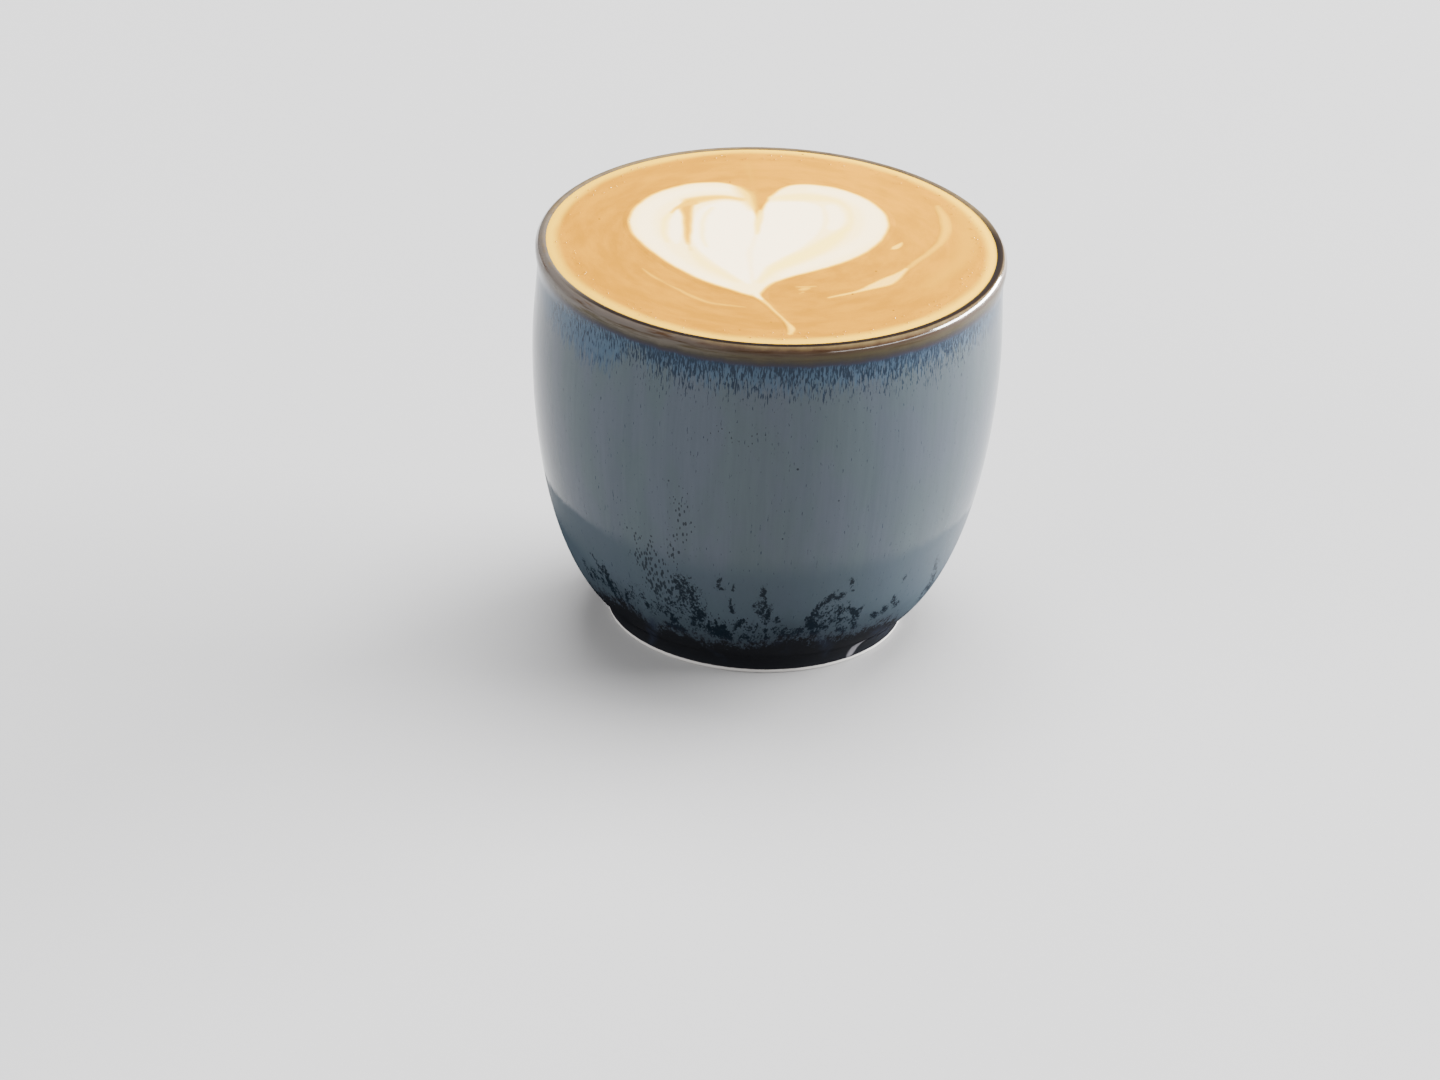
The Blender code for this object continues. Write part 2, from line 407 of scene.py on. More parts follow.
@dataclass(frozen=True)
class ReactiveGlaze:
    """The cup's finish: blue-grey glaze that breaks brown on the rim and black round the foot.

    It reads the fields that GlazeMarks paints on the cup. Places are in millimetres.
    """

    name: str = "reactive_glaze"
    sage: Colour = (0.034, 0.044, 0.050, 1.0)
    mauve: Colour = (0.036, 0.043, 0.054, 1.0)
    brushed: Colour = (0.023, 0.031, 0.037, 1.0)
    blue: Colour = (0.0215, 0.039, 0.061, 1.0)
    azure: Colour = (0.034, 0.058, 0.088, 1.0)
    navy: Colour = (0.010, 0.020, 0.038, 1.0)
    ink: Colour = (0.0035, 0.0085, 0.0170, 1.0)
    teal: Colour = (0.0235, 0.0325, 0.0410, 1.0)
    # Colour of the painted shade low on the belly.
    foot_shade: Colour = (0.0130, 0.0175, 0.0220, 1.0)
    moss: Colour = (0.0030, 0.0055, 0.0085, 1.0)
    fog: Colour = (0.008, 0.013, 0.020, 1.0)
    tarn: Colour = (0.010, 0.011, 0.017, 1.0)
    wash: Colour = (0.010, 0.013, 0.022, 1.0)
    black: Colour = (0.0052, 0.0055, 0.0064, 1.0)
    clay: Colour = (0.30, 0.29, 0.28, 1.0)
    # Grey of the painted glint on the foot: a painted highlight.
    glint_grey: Colour = (0.086, 0.084, 0.092, 1.0)
    # Grey of the painted sheen on the rim's left: painted reflection, not the glaze's own colour.
    rim_sheen: Colour = (0.066, 0.058, 0.052, 1.0)
    rust: Colour = (0.018, 0.009, 0.006, 1.0)
    # Colour of the painted shade line inside the lip.
    lip_shade: Colour = (0.010, 0.006, 0.004, 1.0)
    rim: tuple[tuple[float, Colour], ...] = (
        (58.4, (0.011, 0.012, 0.023, 1.0)),
        (58.9, (0.012, 0.011, 0.015, 1.0)),
        (59.4, (0.017, 0.014, 0.009, 1.0)),
        (60.1, (0.026, 0.019, 0.006, 1.0)),
        (60.7, (0.024, 0.013, 0.005, 1.0)),
        (61.2, (0.036, 0.017, 0.007, 1.0)),
        (61.6, (0.085, 0.055, 0.022, 1.0)),
        (62.0, (0.150, 0.104, 0.044, 1.0)),
    )
    brushing: Weave = Weave(Stretch.BRUSH, 0.9, 4.0, 0.65)
    broad: Weave = Weave(Stretch.BRUSH, 8.0, 2.0, lift=20.0)
    cloud: Weave = Weave(Stretch.CLOUD, 7.0, 3.0, 0.55)
    worn: Weave = Weave(Stretch.ROUND, 2.6, 4.0, 0.6)
    grit: Weave = Weave(Stretch.ROUND, 0.42, 3.0, 0.7, 0.3, 30.0)
    fern: Weave = Weave(Stretch.MOSS, 1.1, 8.0, 0.72, 0.5)
    drip: Weave = Weave(Stretch.DRIP, 0.45, 3.0, 0.6)
    streak: Weave = Weave(Stretch.DRIP, 0.22, 2.0, 0.55, lift=40.0)
    fibre: Weave = Weave(Stretch.DRIP, 0.22, 2.0, lift=70.0)
    band: Weave = Weave(Stretch.BAND, 7.0, 4.0, 0.6)
    pin_apart: float = 0.52
    stray_apart: float = 2.8
    stray_lift: float = 90.0
    rim_radius: float = 36.0
    rim_rise: tuple[float, float] = (58.2, 58.8)
    coat_rise: tuple[float, float] = (60.8, 61.3)
    lip_rise: tuple[float, float] = (60.5, 61.2)
    lip_inside: tuple[float, float] = (35.5, 35.28)
    outside: tuple[float, float] = (20.0, 21.0)
    ring_inside: tuple[float, float] = (17.6, 18.6)
    bare_below: tuple[float, float] = (0.75, 0.60)
    ior: float = 1.25

    def make(self) -> bpy.types.Material:
        """Builds the material.

        Returns:
            The finished material.
        """
        tree = FinishTree(self.name)
        wall = GlazedWall(tree, self.rim_radius)
        height, marks, worn = wall.height, wall.marks, wall.woven(self.worn)
        below = ((marks["lap"] - height + wall.swing(self.worn, 2.0)) / marks["feather"]).rises(-0.5, 0.5)
        rising = marks["tide"] - height + wall.swing(self.fern, 11.0) + wall.swing(self.grit, 7.0)
        sunk = rising.rises(-0.3, 0.7)
        # The painted rim sheen mark also lowers the rim's bands where it is high, on the left.
        edge = height + wall.swing(self.worn, 0.9) - marks["rim_sheen"] * 0.45
        low_down = (height + wall.swing(self.worn, 0.2)).rises(*self.bare_below)
        bare = low_down * wall.radius.rises(*self.ring_inside)
        foot = [
            Layer(self.tarn, rising.rises(-1.4, 0.0), 0.5),
            Layer(self.black, sunk, 0.95),
            Layer(self.wash, marks["wash"] * worn.rises(0.3, 0.6), 0.8),
            # Painted highlight: a small glint on the foot's outer wall, kept off the recess.
            Layer(self.glint_grey, marks["foot_glint"] * wall.radius.rises(*self.outside), 0.9),
        ]
        ends = [Layer(self._banded(wall, edge), edge.rises(*self.rim_rise)), Layer(self.clay, bare)]
        layers = [*self._ground(wall, below), *self._runs(wall), *self._growth(wall), *foot, *ends]
        colour = tree.laid(self.sage, layers)

        sandy = tree.noise(wall.place, 0.25, 1.0) * bare * 0.8
        skin = tree.noise(wall.place, 1.8, 2.0) * 0.5 + wall.woven(self.drip) * 0.3 + sandy
        relief = tree.bump(skin, 0.04)
        left, low = wall.across.rises(-16.0, -32.0), height.rises(24.0, 9.0)
        dull = (below * (left * 0.4 + low * 0.6 + 0.35)).over(sunk * 0.95)
        shared = {"Base Color": colour, "Normal": relief, "IOR": self.ior}
        tree.veil(dull, {**shared, "Roughness": 0.4 + worn * 0.1, "Specular IOR Level": 0.0})
        return tree.finish(
            {
                **shared,
                "Roughness": 0.12 + worn.rises(0.4, 0.8) * 0.07 + bare * 0.5,
                "Coat Weight": edge.rises(*self.coat_rise),
                "Coat Roughness": 0.05,
                "Coat IOR": 1.45,
            }
        )

    def _ground(self, wall: GlazedWall, below: Field) -> list[Layer]:
        """The brushed glaze of the belly, its darker lap lower down, and painted shade that darkens it towards the
        black foot.

        Args:
            wall: The cup's fields.
            below: How far a place lies within the lap.

        Returns:
            The layers, from the lowest up.
        """
        brushed = wall.woven(self.brushing).rises(0.3, 0.7) + wall.woven(self.broad).rises(0.42, 0.62)
        # Painted shade: the belly darkens over the last 7 mm above the black foot.
        near = wall.height - wall.marks["tide"] + wall.swing(self.worn, 5.0)
        return [
            Layer(self.mauve, wall.woven(self.cloud).rises(0.38, 0.62)),
            Layer(self.brushed, brushed, 0.22),
            Layer(self.teal, below, 0.75),
            Layer(self.foot_shade, near.rises(7.0, 0.0), 0.55),
        ]

    def _runs(self, wall: GlazedWall) -> list[Layer]:
        """The blue that runs down from the rim in fine streaks.

        Args:
            wall: The cup's fields.

        Returns:
            The layers, from the lowest up.
        """
        streak = wall.woven(self.streak)
        depth = wall.height - wall.marks["run"]
        deep = wall.height - wall.marks["navy"]
        hatched = (depth + wall.swing(self.drip, 6.0)).rises(-1.5, 0.8)
        dark = streak + deep.rises(-8.0, 1.5) * 0.235 - 0.035
        return [
            Layer(self.blue, (depth + wall.swing(self.drip, 9.0)).rises(-0.8, 2.6), 0.85),
            Layer(self.navy, (deep + wall.swing(self.streak, 7.0)).rises(-1.2, 1.2), 0.85),
            Layer(self.azure, wall.woven(self.fibre).rises(0.54, 0.68) * deep.rises(-6.0, 0.5), 0.5),
            Layer(self.navy, streak.rises(0.50, 0.60) * hatched, 0.7),
            Layer(self.ink, dark.rises(0.65, 0.70), 0.92),
        ]

    def _growth(self, wall: GlazedWall) -> list[Layer]:
        """The specks, and the dark growth like moss above the foot.

        Args:
            wall: The cup's fields.

        Returns:
            The layers, from the lowest up.
        """
        tree, worn, fern = wall.tree, wall.woven(self.worn), wall.woven(self.fern)
        pins = tree.cells(wall.wrapped(Stretch.SPECK), self.pin_apart)
        many = wall.marks["specks"] * 0.46 + wall.swing(self.worn, 0.25) + wall.swing(self.grit, 0.4) - pins
        stray = tree.cells(wall.wrapped(Stretch.ROUND, self.stray_lift), self.stray_apart)
        moss = wall.marks["moss"]
        growth = wall.swing(self.fern, 1.25) + wall.swing(self.grit, 0.85) + moss * 0.33
        return [
            Layer(self.moss, many.rises(-0.06, 0.05), 0.85),
            Layer(self.moss, stray.rises(0.085, 0.055) * worn.rises(0.52, 0.60), 0.9),
            Layer(self.fog, moss * fern.rises(0.35, 0.6), 0.5),
            Layer(self.moss, growth.rises(0.12, 0.20) * moss.rises(0.02, 0.15)),
        ]

    def _banded(self, wall: GlazedWall, edge: Field) -> Field:
        """The bands of the rim, up to the pale lip, with painted sheen streaks on its left and a line of painted
        shade inside the lip on the front side.

        Args:
            wall: The cup's fields.
            edge: The height at which the bands are read.

        Returns:
            The rim's colour.
        """
        low, high = self.rim[0][0], self.rim[-1][0]
        stops = [((at - low) / (high - low), tint) for at, tint in self.rim]
        streaky, rim_sheen = wall.woven(self.band), wall.marks["rim_sheen"]
        # Painted shade: a dark line just inside the lip, laid only on the front and right-front side.
        facing = (wall.away - wall.across * 0.5).rises(4.0, -14.0)
        inside = wall.radius.rises(*self.lip_inside) * wall.height.rises(*self.lip_rise) * facing
        return wall.tree.laid(
            wall.tree.ramp(stops, (edge - low) / (high - low)),
            [
                # Painted sheen: streaks of painted reflection across the left of the rim.
                Layer(self.rim_sheen, streaky.rises(0.30, 0.55) * rim_sheen * edge.rises(59.0, 60.3), 0.85),
                Layer(self.rust, streaky.rises(0.5, 0.3) * (0.5 - rim_sheen * 0.46)),
                Layer(self.lip_shade, inside),
            ],
        )


@dataclass(frozen=True)
class CremaAndMilk:
    """The finish of the drink and its foam, led by the milk and straw fields of the mesh."""

    name: str = "crema"
    deep: Colour = (0.300, 0.123, 0.0, 1.0)
    light: Colour = (0.445, 0.188, 0.0, 1.0)
    fizz: Colour = (0.220, 0.085, 0.0, 1.0)
    pinhole: Colour = (0.060, 0.020, 0.004, 1.0)
    edge: Colour = (0.690, 0.400, 0.010, 1.0)
    straw: Colour = (0.960, 0.700, 0.060, 1.0)
    pale: tuple[tuple[float, Colour], ...] = (
        (0.0, (0.360, 0.152, 0.0, 1.0)),
        (0.25, (0.570, 0.280, 0.0, 1.0)),
        (0.5, (0.760, 0.430, 0.030, 1.0)),
        (0.84, (0.970, 0.720, 0.300, 1.0)),
        (1.0, (0.985, 0.800, 0.520, 1.0)),
    )
    ring_inside: float = 32.0
    ring_outside: float = 33.9

    def make(self) -> bpy.types.Material:
        """Builds the material.

        Returns:
            The finished material.
        """
        tree = FinishTree(self.name)
        place = tree.place()
        across, away, _ = tree.parts(place)
        radius, outward = tree.around(across, away)
        milk, straw = tree.attribute("milk"), tree.attribute("straw")

        turned = tree.vector("SCALE", outward, Scale=9.0)
        flow = tree.vector("ADD", turned, tree.node("ShaderNodeCombineXYZ", {}, {2: radius}))
        swirl = tree.noise(flow, 2.6, 4.0, 0.6)
        fleck = tree.noise(place, 0.5, 3.0, 0.6)
        # The crema's own swirl of tone, plus painted light: it is made lighter towards the back right, where the
        # lamps stand.
        swirl_and_painted_light = swirl.rises(0.30, 0.70) * 0.6 + (across + away).rises(-20.0, 50.0) * 0.5
        crema = tree.mix(swirl_and_painted_light, self.deep, self.light)
        poured = tree.ramp(self.pale, milk + (fleck - 0.5) * 0.04)
        colour = tree.mix(milk.rises(0.0, 0.14), crema, poured)
        colour = tree.mix(straw * 0.8, colour, self.straw)
        rim = (radius + (tree.noise(flow, 4.0) - 0.5) * 1.6).rises(self.ring_inside, self.ring_outside)
        colour = tree.mix(rim * 0.85, colour, self.edge)
        bubbles = tree.cells(place, 0.3)
        dots = (1 - bubbles.rises(0.06, 0.24)) * tree.noise(place, 3.0, 3.0).rises(0.50, 0.66)
        bare = 1 - milk.rises(0.3, 0.9)
        colour = tree.mix(dots * bare * 0.22, colour, self.fizz)
        pinholes = tree.cells(place, 4.2).rises(0.055, 0.03)
        colour = tree.mix(pinholes * bare * 0.8, colour, self.pinhole)
        return tree.finish(
            {
                "Base Color": colour,
                "Roughness": 0.42 + fleck * 0.16,
                "Normal": tree.bump(bubbles * 0.5 + fleck * 0.5, 0.015),
                "IOR": 1.33,
                "Specular IOR Level": 0.05,
            }
        )


@dataclass(frozen=True)
class BubbleFilm:
    """The finish of the fine bubbles along the edge of the crema."""

    name: str = "bubble_film"
    film: Colour = (0.560, 0.270, 0.020, 1.0)
    shadow: Colour = (0.320, 0.120, 0.004, 1.0)

    def make(self) -> bpy.types.Material:
        """Builds the material.

        Returns:
            The finished material.
        """
        tree = FinishTree(self.name)
        place = tree.place()
        tone = tree.noise(place, 2.0, 2.0)
        colour = tree.mix(tone.rises(0.4, 0.6) * 0.5, self.film, self.shadow)
        return tree.finish({"Base Color": colour, "Roughness": 0.08 + tone * 0.1, "IOR": 1.33})


@dataclass(frozen=True)
class PaleFloor:
    """The finish of the plain floor."""

    name: str = "pale_floor"
    tone: Colour = (0.310, 0.308, 0.310, 1.0)
    shade: Colour = (0.284, 0.282, 0.286, 1.0)

    def make(self) -> bpy.types.Material:
        """Builds the material.

        Returns:
            The finished material.
        """
        tree = FinishTree(self.name)
        place = tree.place()
        grain = tree.noise(place, 2.0, 4.0)
        colour = tree.mix(tree.noise(place, 90.0, 3.0) * 0.6, self.tone, self.shade)
        relief = tree.bump(grain, 0.02)
        return tree.finish({"Base Color": colour, "Roughness": 0.7 + grain * 0.1, "Normal": relief})


def new_object(name: str, mesh: bpy.types.Mesh) -> bpy.types.Object:
    """A linked object that carries a mesh."""
    made = bpy.data.objects.new(name, mesh)
    bpy.context.scene.collection.objects.link(made)
    return made


def corners_of(mesh: bpy.types.Mesh) -> np.ndarray:
    """The points of a mesh in millimetres, one a row."""
    places = np.empty(len(mesh.vertices) * 3)
    mesh.vertices.foreach_get("co", places)
    return places.reshape(-1, 3) / MM


def keep_fields(mesh: bpy.types.Mesh, fields: dict[str, np.ndarray]) -> None:
    """Writes values for each point of a mesh, for a material to read."""
    for name, values in fields.items():
        mesh.attributes.new(name, "FLOAT", "POINT").data.foreach_set("value", values)


def line_through(knots: Sequence[Knot], ends: Ends, per_span: int = 12) -> np.ndarray:
    """A smooth line through some knots.

    Args:
        knots: The knots, each with the same count of numbers.
        ends: Whether the line is closed.
        per_span: How many points each stretch gets.

    Returns:
        The points of the line, one a row. A closed line doesn't repeat its first point.
    """
    given = np.array(knots, float)
    count = len(given)
    spans = count if ends is Ends.CLOSED else count - 1
    t = (np.arange(per_span) / per_span)[:, None]
    parts = []
    for i in range(spans):
        order = [k % count if ends is Ends.CLOSED else min(max(k, 0), count - 1) for k in range(i - 1, i + 3)]
        a, b, c, d = given[order]
        bend = (2 * a - 5 * b + 4 * c - d) * t**2
        parts.append(0.5 * (2 * b + (c - a) * t + bend + (3 * b - a - 3 * c + d) * t**3))
    if ends is Ends.OPEN:
        parts.append(given[-1:])
    return np.vstack(parts)


def nearest_on(points: np.ndarray, line: np.ndarray, ends: Ends) -> tuple[np.ndarray, np.ndarray]:
    """How far points lie from a line, and what the line's third number is there.

    Args:
        points: The points, as rows of x and y.
        line: The line's points, as rows of x, y and perhaps a half width.
        ends: Whether the line is closed.

    Returns:
        The distances, and the half widths at the nearest places (0 where the line has none).
    """
    best = np.full(len(points), np.inf)
    width = np.zeros(len(points))
    after = np.roll(line, -1, axis=0)
    pairs = zip(line, after) if ends is Ends.CLOSED else zip(line[:-1], after[:-1])
    for start, stop in pairs:
        along = stop[:2] - start[:2]
        share = np.clip(((points - start[:2]) @ along) / max(along @ along, 1e-9), 0.0, 1.0)
        apart = np.hypot(*(points - start[:2] - share[:, None] * along).T)
        nearer = apart < best
        best[nearer] = apart[nearer]
        if line.shape[1] > 2:
            width[nearer] = start[2] + (stop[2] - start[2]) * share[nearer]
    return best, width


def depth_inside(points: np.ndarray, outline: np.ndarray) -> np.ndarray:
    """How deep points lie inside a closed outline, below 0 where they are outside."""
    apart, _ = nearest_on(points, outline, Ends.CLOSED)
    inside = np.zeros(len(points), bool)
    x, y = points.T
    for (ax, ay), (bx, by) in zip(outline[:, :2], np.roll(outline[:, :2], -1, axis=0)):
        crosses = (ay > y) != (by > y)
        if abs(by - ay) > 1e-12:
            inside ^= crosses & (x < (bx - ax) * (y - ay) / (by - ay) + ax)
    return np.where(inside, apart, -apart)


@dataclass(frozen=True)
class Stroke:
    """A soft mark in the foam, in millimetres seen from above.

    An open mark follows knots of x, y and half width. A closed one fills the outline through knots of x and y.
    """

    knots: tuple[Knot, ...]
    amount: float
    soft: float = 0.5
    straw: float = 0.0
    ends: Ends = Ends.OPEN

    def cover(self, points: np.ndarray) -> np.ndarray:
        """How much of the mark each point has, from 0 to 1."""
        line = line_through(self.knots, self.ends)
        low, high = line[:, :2].min(axis=0) - 3.0, line[:, :2].max(axis=0) + 3.0
        near = np.all((points > low) & (points < high), axis=1)
        share = np.zeros(len(points))
        if not near.any():
            return share
        if self.ends is Ends.CLOSED:
            depth = depth_inside(points[near], line)
        else:
            apart, width = nearest_on(points[near], line, self.ends)
            depth = width - apart
        share[near] = eased(0.5 + depth / (2 * self.soft))
        return share


HEART = (
    (-9.3, 21.1), (-12.7, 20.3), (-15.9, 18.3), (-18.6, 15.5), (-20.5, 12.3), (-21.6, 9.0),
    (-21.9, 5.5), (-21.4, 2.1),
    (-20.1, -1.1), (-18.2, -4.4), (-15.9, -7.6), (-13.2, -10.8), (-10.1, -13.7), (-6.8, -16.0),
    (-3.9, -17.8),
    (-1.9, -18.7), (-1.2, -17.3), (-0.6, -15.5), (0.7, -13.5), (3.3, -11.1), (6.8, -8.7), (10.3, -5.9),
    (13.2, -2.9),
    (15.3, 0.2), (16.7, 3.4), (17.5, 6.8), (17.6, 10.4), (16.5, 14.1), (14.3, 17.5), (11.4, 20.1),
    (8.2, 21.6),
    (4.9, 22.0), (2.3, 21.2), (0.6, 19.2), (-0.5, 16.6), (-1.3, 13.6), (-1.75, 10.7), (-1.95, 7.6),
    (-2.2, 4.0),
    (-2.5, 7.6), (-2.75, 10.7), (-3.2, 13.1), (-3.6, 15.6), (-4.3, 18.0), (-5.5, 19.8), (-7.2, 20.8),
)

POUR = (
    Stroke(((-4.4, 28.5, 1.0), (-3.7, 24.0, 0.6), (-3.0, 18.5, 0.3)), 0.08, 0.9),
    Stroke(((27.5, 19.0, 1.5), (30.0, 9.0, 2.2), (29.0, -2.0, 2.0), (24.0, -12.0, 1.2)), 0.10, 2.0),
    Stroke(((-19.4, -10.8, 0.1), (-17.6, -13.4, 0.3), (-15.6, -15.6, 0.15), (-13.6, -17.6, 0.3),
            (-11.4, -19.8, 0.4), (-8.6, -21.6, 0.3), (-5.6, -22.2, 0.25), (-3.4, -22.4, 0.1)), 0.17, 0.45),
    Stroke(((25.2, 16.4, 0.3), (26.3, 11.6, 0.7), (26.5, 7.2, 0.7), (25.6, 3.0, 0.5), (23.8, -0.8, 0.4),
            (22.0, -4.0, 0.35), (20.4, -7.0, 0.3)), 0.27, 0.6),
    Stroke(((20.6, -6.6, 0.2), (19.3, -9.0, 0.7), (17.7, -11.2, 1.15), (15.9, -13.0, 0.85),
            (14.2, -14.5, 0.4),
            (12.6, -15.7, 0.2), (10.8, -16.8, 0.18), (9.0, -17.9, 0.1)), 0.55, 0.35),
    Stroke(((19.8, 2.7, 0.1), (19.5, 1.8, 0.4), (18.8, 0.8, 0.5), (18.3, 0.3, 0.1)), 0.45, 0.25),
    Stroke(((3.9, -14.6, 0.1), (5.2, -14.5, 0.25), (7.0, -14.1, 0.15)), 0.22, 0.3),
    Stroke(((4.5, -15.7, 0.15), (5.2, -15.3, 0.4), (5.9, -14.9, 0.2)), 0.28, 0.3),
    Stroke(((4.6, -16.9, 0.1), (5.1, -16.3, 0.2)), 0.20, 0.25),
    Stroke(HEART, 0.84, 0.5, 0.0, Ends.CLOSED),
    Stroke(((-7.0, 18.7, 0.6), (-11.5, 18.4, 0.9), (-15.6, 15.7, 1.1), (-18.7, 11.0, 1.3),
            (-19.6, 6.0, 1.4),
            (-18.9, 1.4, 1.3), (-17.0, -3.2, 1.1), (-14.2, -7.8, 1.0), (-10.6, -12.0, 0.9),
            (-6.5, -15.2, 0.7)),
           0.92, 0.9),
    Stroke(((6.0, 20.2, 0.7), (10.5, 18.9, 1.0), (14.0, 15.3, 1.2), (15.5, 10.2, 1.5), (15.0, 5.0, 1.5),
            (12.6, 0.5, 1.3), (9.0, -3.9, 1.1), (5.0, -7.9, 0.8), (2.0, -10.9, 0.5)), 0.92, 0.9),
    Stroke(((-7.1, 14.4), (-4.8, 13.9), (-3.3, 11.8), (-2.7, 8.5), (-2.5, 4.0), (-3.0, -2.0), (-3.2, -8.0),
            (-2.9, -14.0), (-4.4, -13.2), (-6.8, -10.0), (-9.4, -6.2), (-11.4, -2.5), (-12.2, 1.0),
            (-12.2, 5.5),
            (-11.8, 9.4), (-10.6, 12.0), (-9.0, 13.6)), 1.0, 0.55, 0.0, Ends.CLOSED),
    Stroke(((-0.9, 14.4), (1.5, 15.3), (5.0, 15.4), (7.0, 14.2), (7.7, 11.0), (7.5, 7.0), (6.3, 3.0),
            (4.0, -1.5),
            (1.5, -5.0), (-0.8, -8.5), (-2.2, -13.0), (-2.8, -8.0), (-2.8, -2.0), (-2.2, 3.0), (-1.7, 8.0),
            (-1.3, 12.0)), 1.0, 0.55, 0.0, Ends.CLOSED),
    Stroke(((8.9, 14.0, 1.0), (9.8, 10.5, 1.2), (9.2, 6.8, 0.9)), 0.96, 0.5),
    Stroke(((-14.7, 10.5), (-13.9, 8.5), (-13.75, 4.0), (-13.9, 0.0), (-14.6, -1.5), (-15.5, 1.0),
            (-15.7, 5.0),
            (-15.4, 8.5)), 0.97, 0.4, 0.0, Ends.CLOSED),
    Stroke(((0.0, 16.4, 0.6), (3.5, 17.2, 1.2), (7.0, 17.2, 1.1), (9.8, 16.3, 0.6), (11.4, 14.0, 0.4),
            (12.0, 10.0, 0.4), (11.4, 6.6, 0.6)), 0.76, 0.7, 0.55),
    Stroke(((11.4, 6.6, 0.5), (9.7, 3.4, 1.2), (7.7, 0.0, 1.5), (5.5, -3.0, 1.4), (3.0, -5.8, 1.3),
            (0.9, -8.3, 1.0), (-0.4, -10.8, 0.6), (-1.4, -13.6, 0.3)), 0.78, 0.8, 0.75),
    Stroke(((7.5, 14.2, 0.1), (7.9, 10.5, 0.15), (7.7, 6.6, 0.1)), 0.88, 0.25, 0.1),
    Stroke(((-9.3, 11.9, 0.3), (-10.4, 9.0, 0.35), (-10.7, 5.0, 0.35), (-10.5, 0.7, 0.3),
            (-9.9, -2.0, 0.2)),
           0.88, 0.55, 0.45),
    Stroke(((-12.1, -3.0, 0.4), (-11.2, -5.8, 0.7), (-9.6, -8.6, 0.9), (-7.3, -11.3, 0.7),
            (-5.0, -13.6, 0.4)),
           0.76, 0.9, 0.5),
    Stroke(((-15.6, 9.6, 0.3), (-16.3, 7.6, 0.45), (-16.6, 5.0, 0.4), (-16.5, 2.0, 0.3),
            (-15.9, -1.0, 0.2)),
           0.76, 0.55, 0.7),
    Stroke(((-2.3, 3.8, 0.2), (-2.9, 0.0, 0.25), (-3.4, -3.5, 0.3), (-3.3, -6.5, 0.2)), 0.92, 0.45, 0.1),
    Stroke(((-5.6, 19.4, 0.3), (-4.3, 17.0, 0.8), (-3.7, 14.4, 0.5), (-3.2, 12.4, 0.2)), 0.42, 1.5, 0.25),
    Stroke(((-4.9, 15.4, 0.3), (-7.6, 15.9, 0.6), (-10.4, 15.2, 0.9), (-12.8, 13.8, 1.1)), 0.24, 0.8, 0.15),
    Stroke(((-12.4, 13.8, 0.3), (-13.3, 12.2, 1.0), (-13.15, 9.0, 0.72), (-12.95, 5.0, 0.58),
            (-12.9, 1.5, 0.45),
            (-12.7, -1.4, 0.2)), 0.12, 0.6),
    Stroke(((-12.3, 13.4, 0.7), (-13.9, 12.3, 0.5), (-14.9, 11.0, 0.3), (-15.6, 9.4, 0.15)), 0.28, 0.4),
    Stroke(((-12.7, -1.2, 0.2), (-12.2, -3.6, 0.2)), 0.55, 0.4, 0.2),
    Stroke(((-1.9, 11.6, 0.2), (-2.1, 9.0, 0.5), (-2.3, 6.0, 0.4), (-2.35, 3.4, 0.2)), 0.62, 0.5, 0.45),
    Stroke(((-2.0, -18.0, 0.6), (-1.5, -19.1, 0.45), (-0.7, -20.4, 0.3), (0.3, -22.1, 0.22),
            (1.7, -24.9, 0.2),
            (2.8, -27.1, 0.22), (3.4, -28.5, 0.4), (3.55, -29.6, 0.5), (3.35, -31.0, 0.3)), 0.46, 0.3),
    Stroke(((-2.2, -17.2, 0.7), (-1.7, -18.6, 0.4), (-1.1, -19.6, 0.15)), 0.86, 0.3),
)


@dataclass
class PouredArt:
    """The picture that the milk makes, as two attributes of the meshes that carry it."""

    strokes: tuple[Stroke, ...] = POUR
    sway: float = 0.07

    def paint(self, mesh: bpy.types.Mesh) -> None:
        """Writes the milk and straw attributes of a mesh in metres."""
        points = corners_of(mesh)[:, :2]
        points = points + self._drift(points)
        milk = np.zeros(len(points))
        straw = np.zeros(len(points))
        for stroke in self.strokes:
            share = stroke.cover(points)
            milk += (stroke.amount - milk) * share
            straw += (stroke.straw - straw) * share
        keep_fields(mesh, {"milk": milk, "straw": straw})

    def _drift(self, points: np.ndarray) -> np.ndarray:
        """A slight sway of the drawn lines, as liquid foam has."""
        x, y = points.T
        sideways = np.sin(y * 1.31 + 0.7 * np.sin(x * 0.83)) + 0.5 * np.sin(x * 2.17 + y * 1.9)
        along = np.sin(x * 1.13 + 0.8 * np.sin(y * 0.97)) + 0.5 * np.sin(y * 2.41 - x * 1.7)
        return np.stack((sideways, along), axis=1) * self.sway * 0.5


def mesh_from(name: str, points: np.ndarray, faces: Sequence[Sequence[int]]) -> bpy.types.Mesh:
    """A smooth mesh from points in millimetres and faces."""
    mesh = bpy.data.meshes.new(name)
    mesh.from_pydata((points * MM).tolist(), [], faces)
    mesh.validate()
    mesh.shade_smooth()
    return mesh


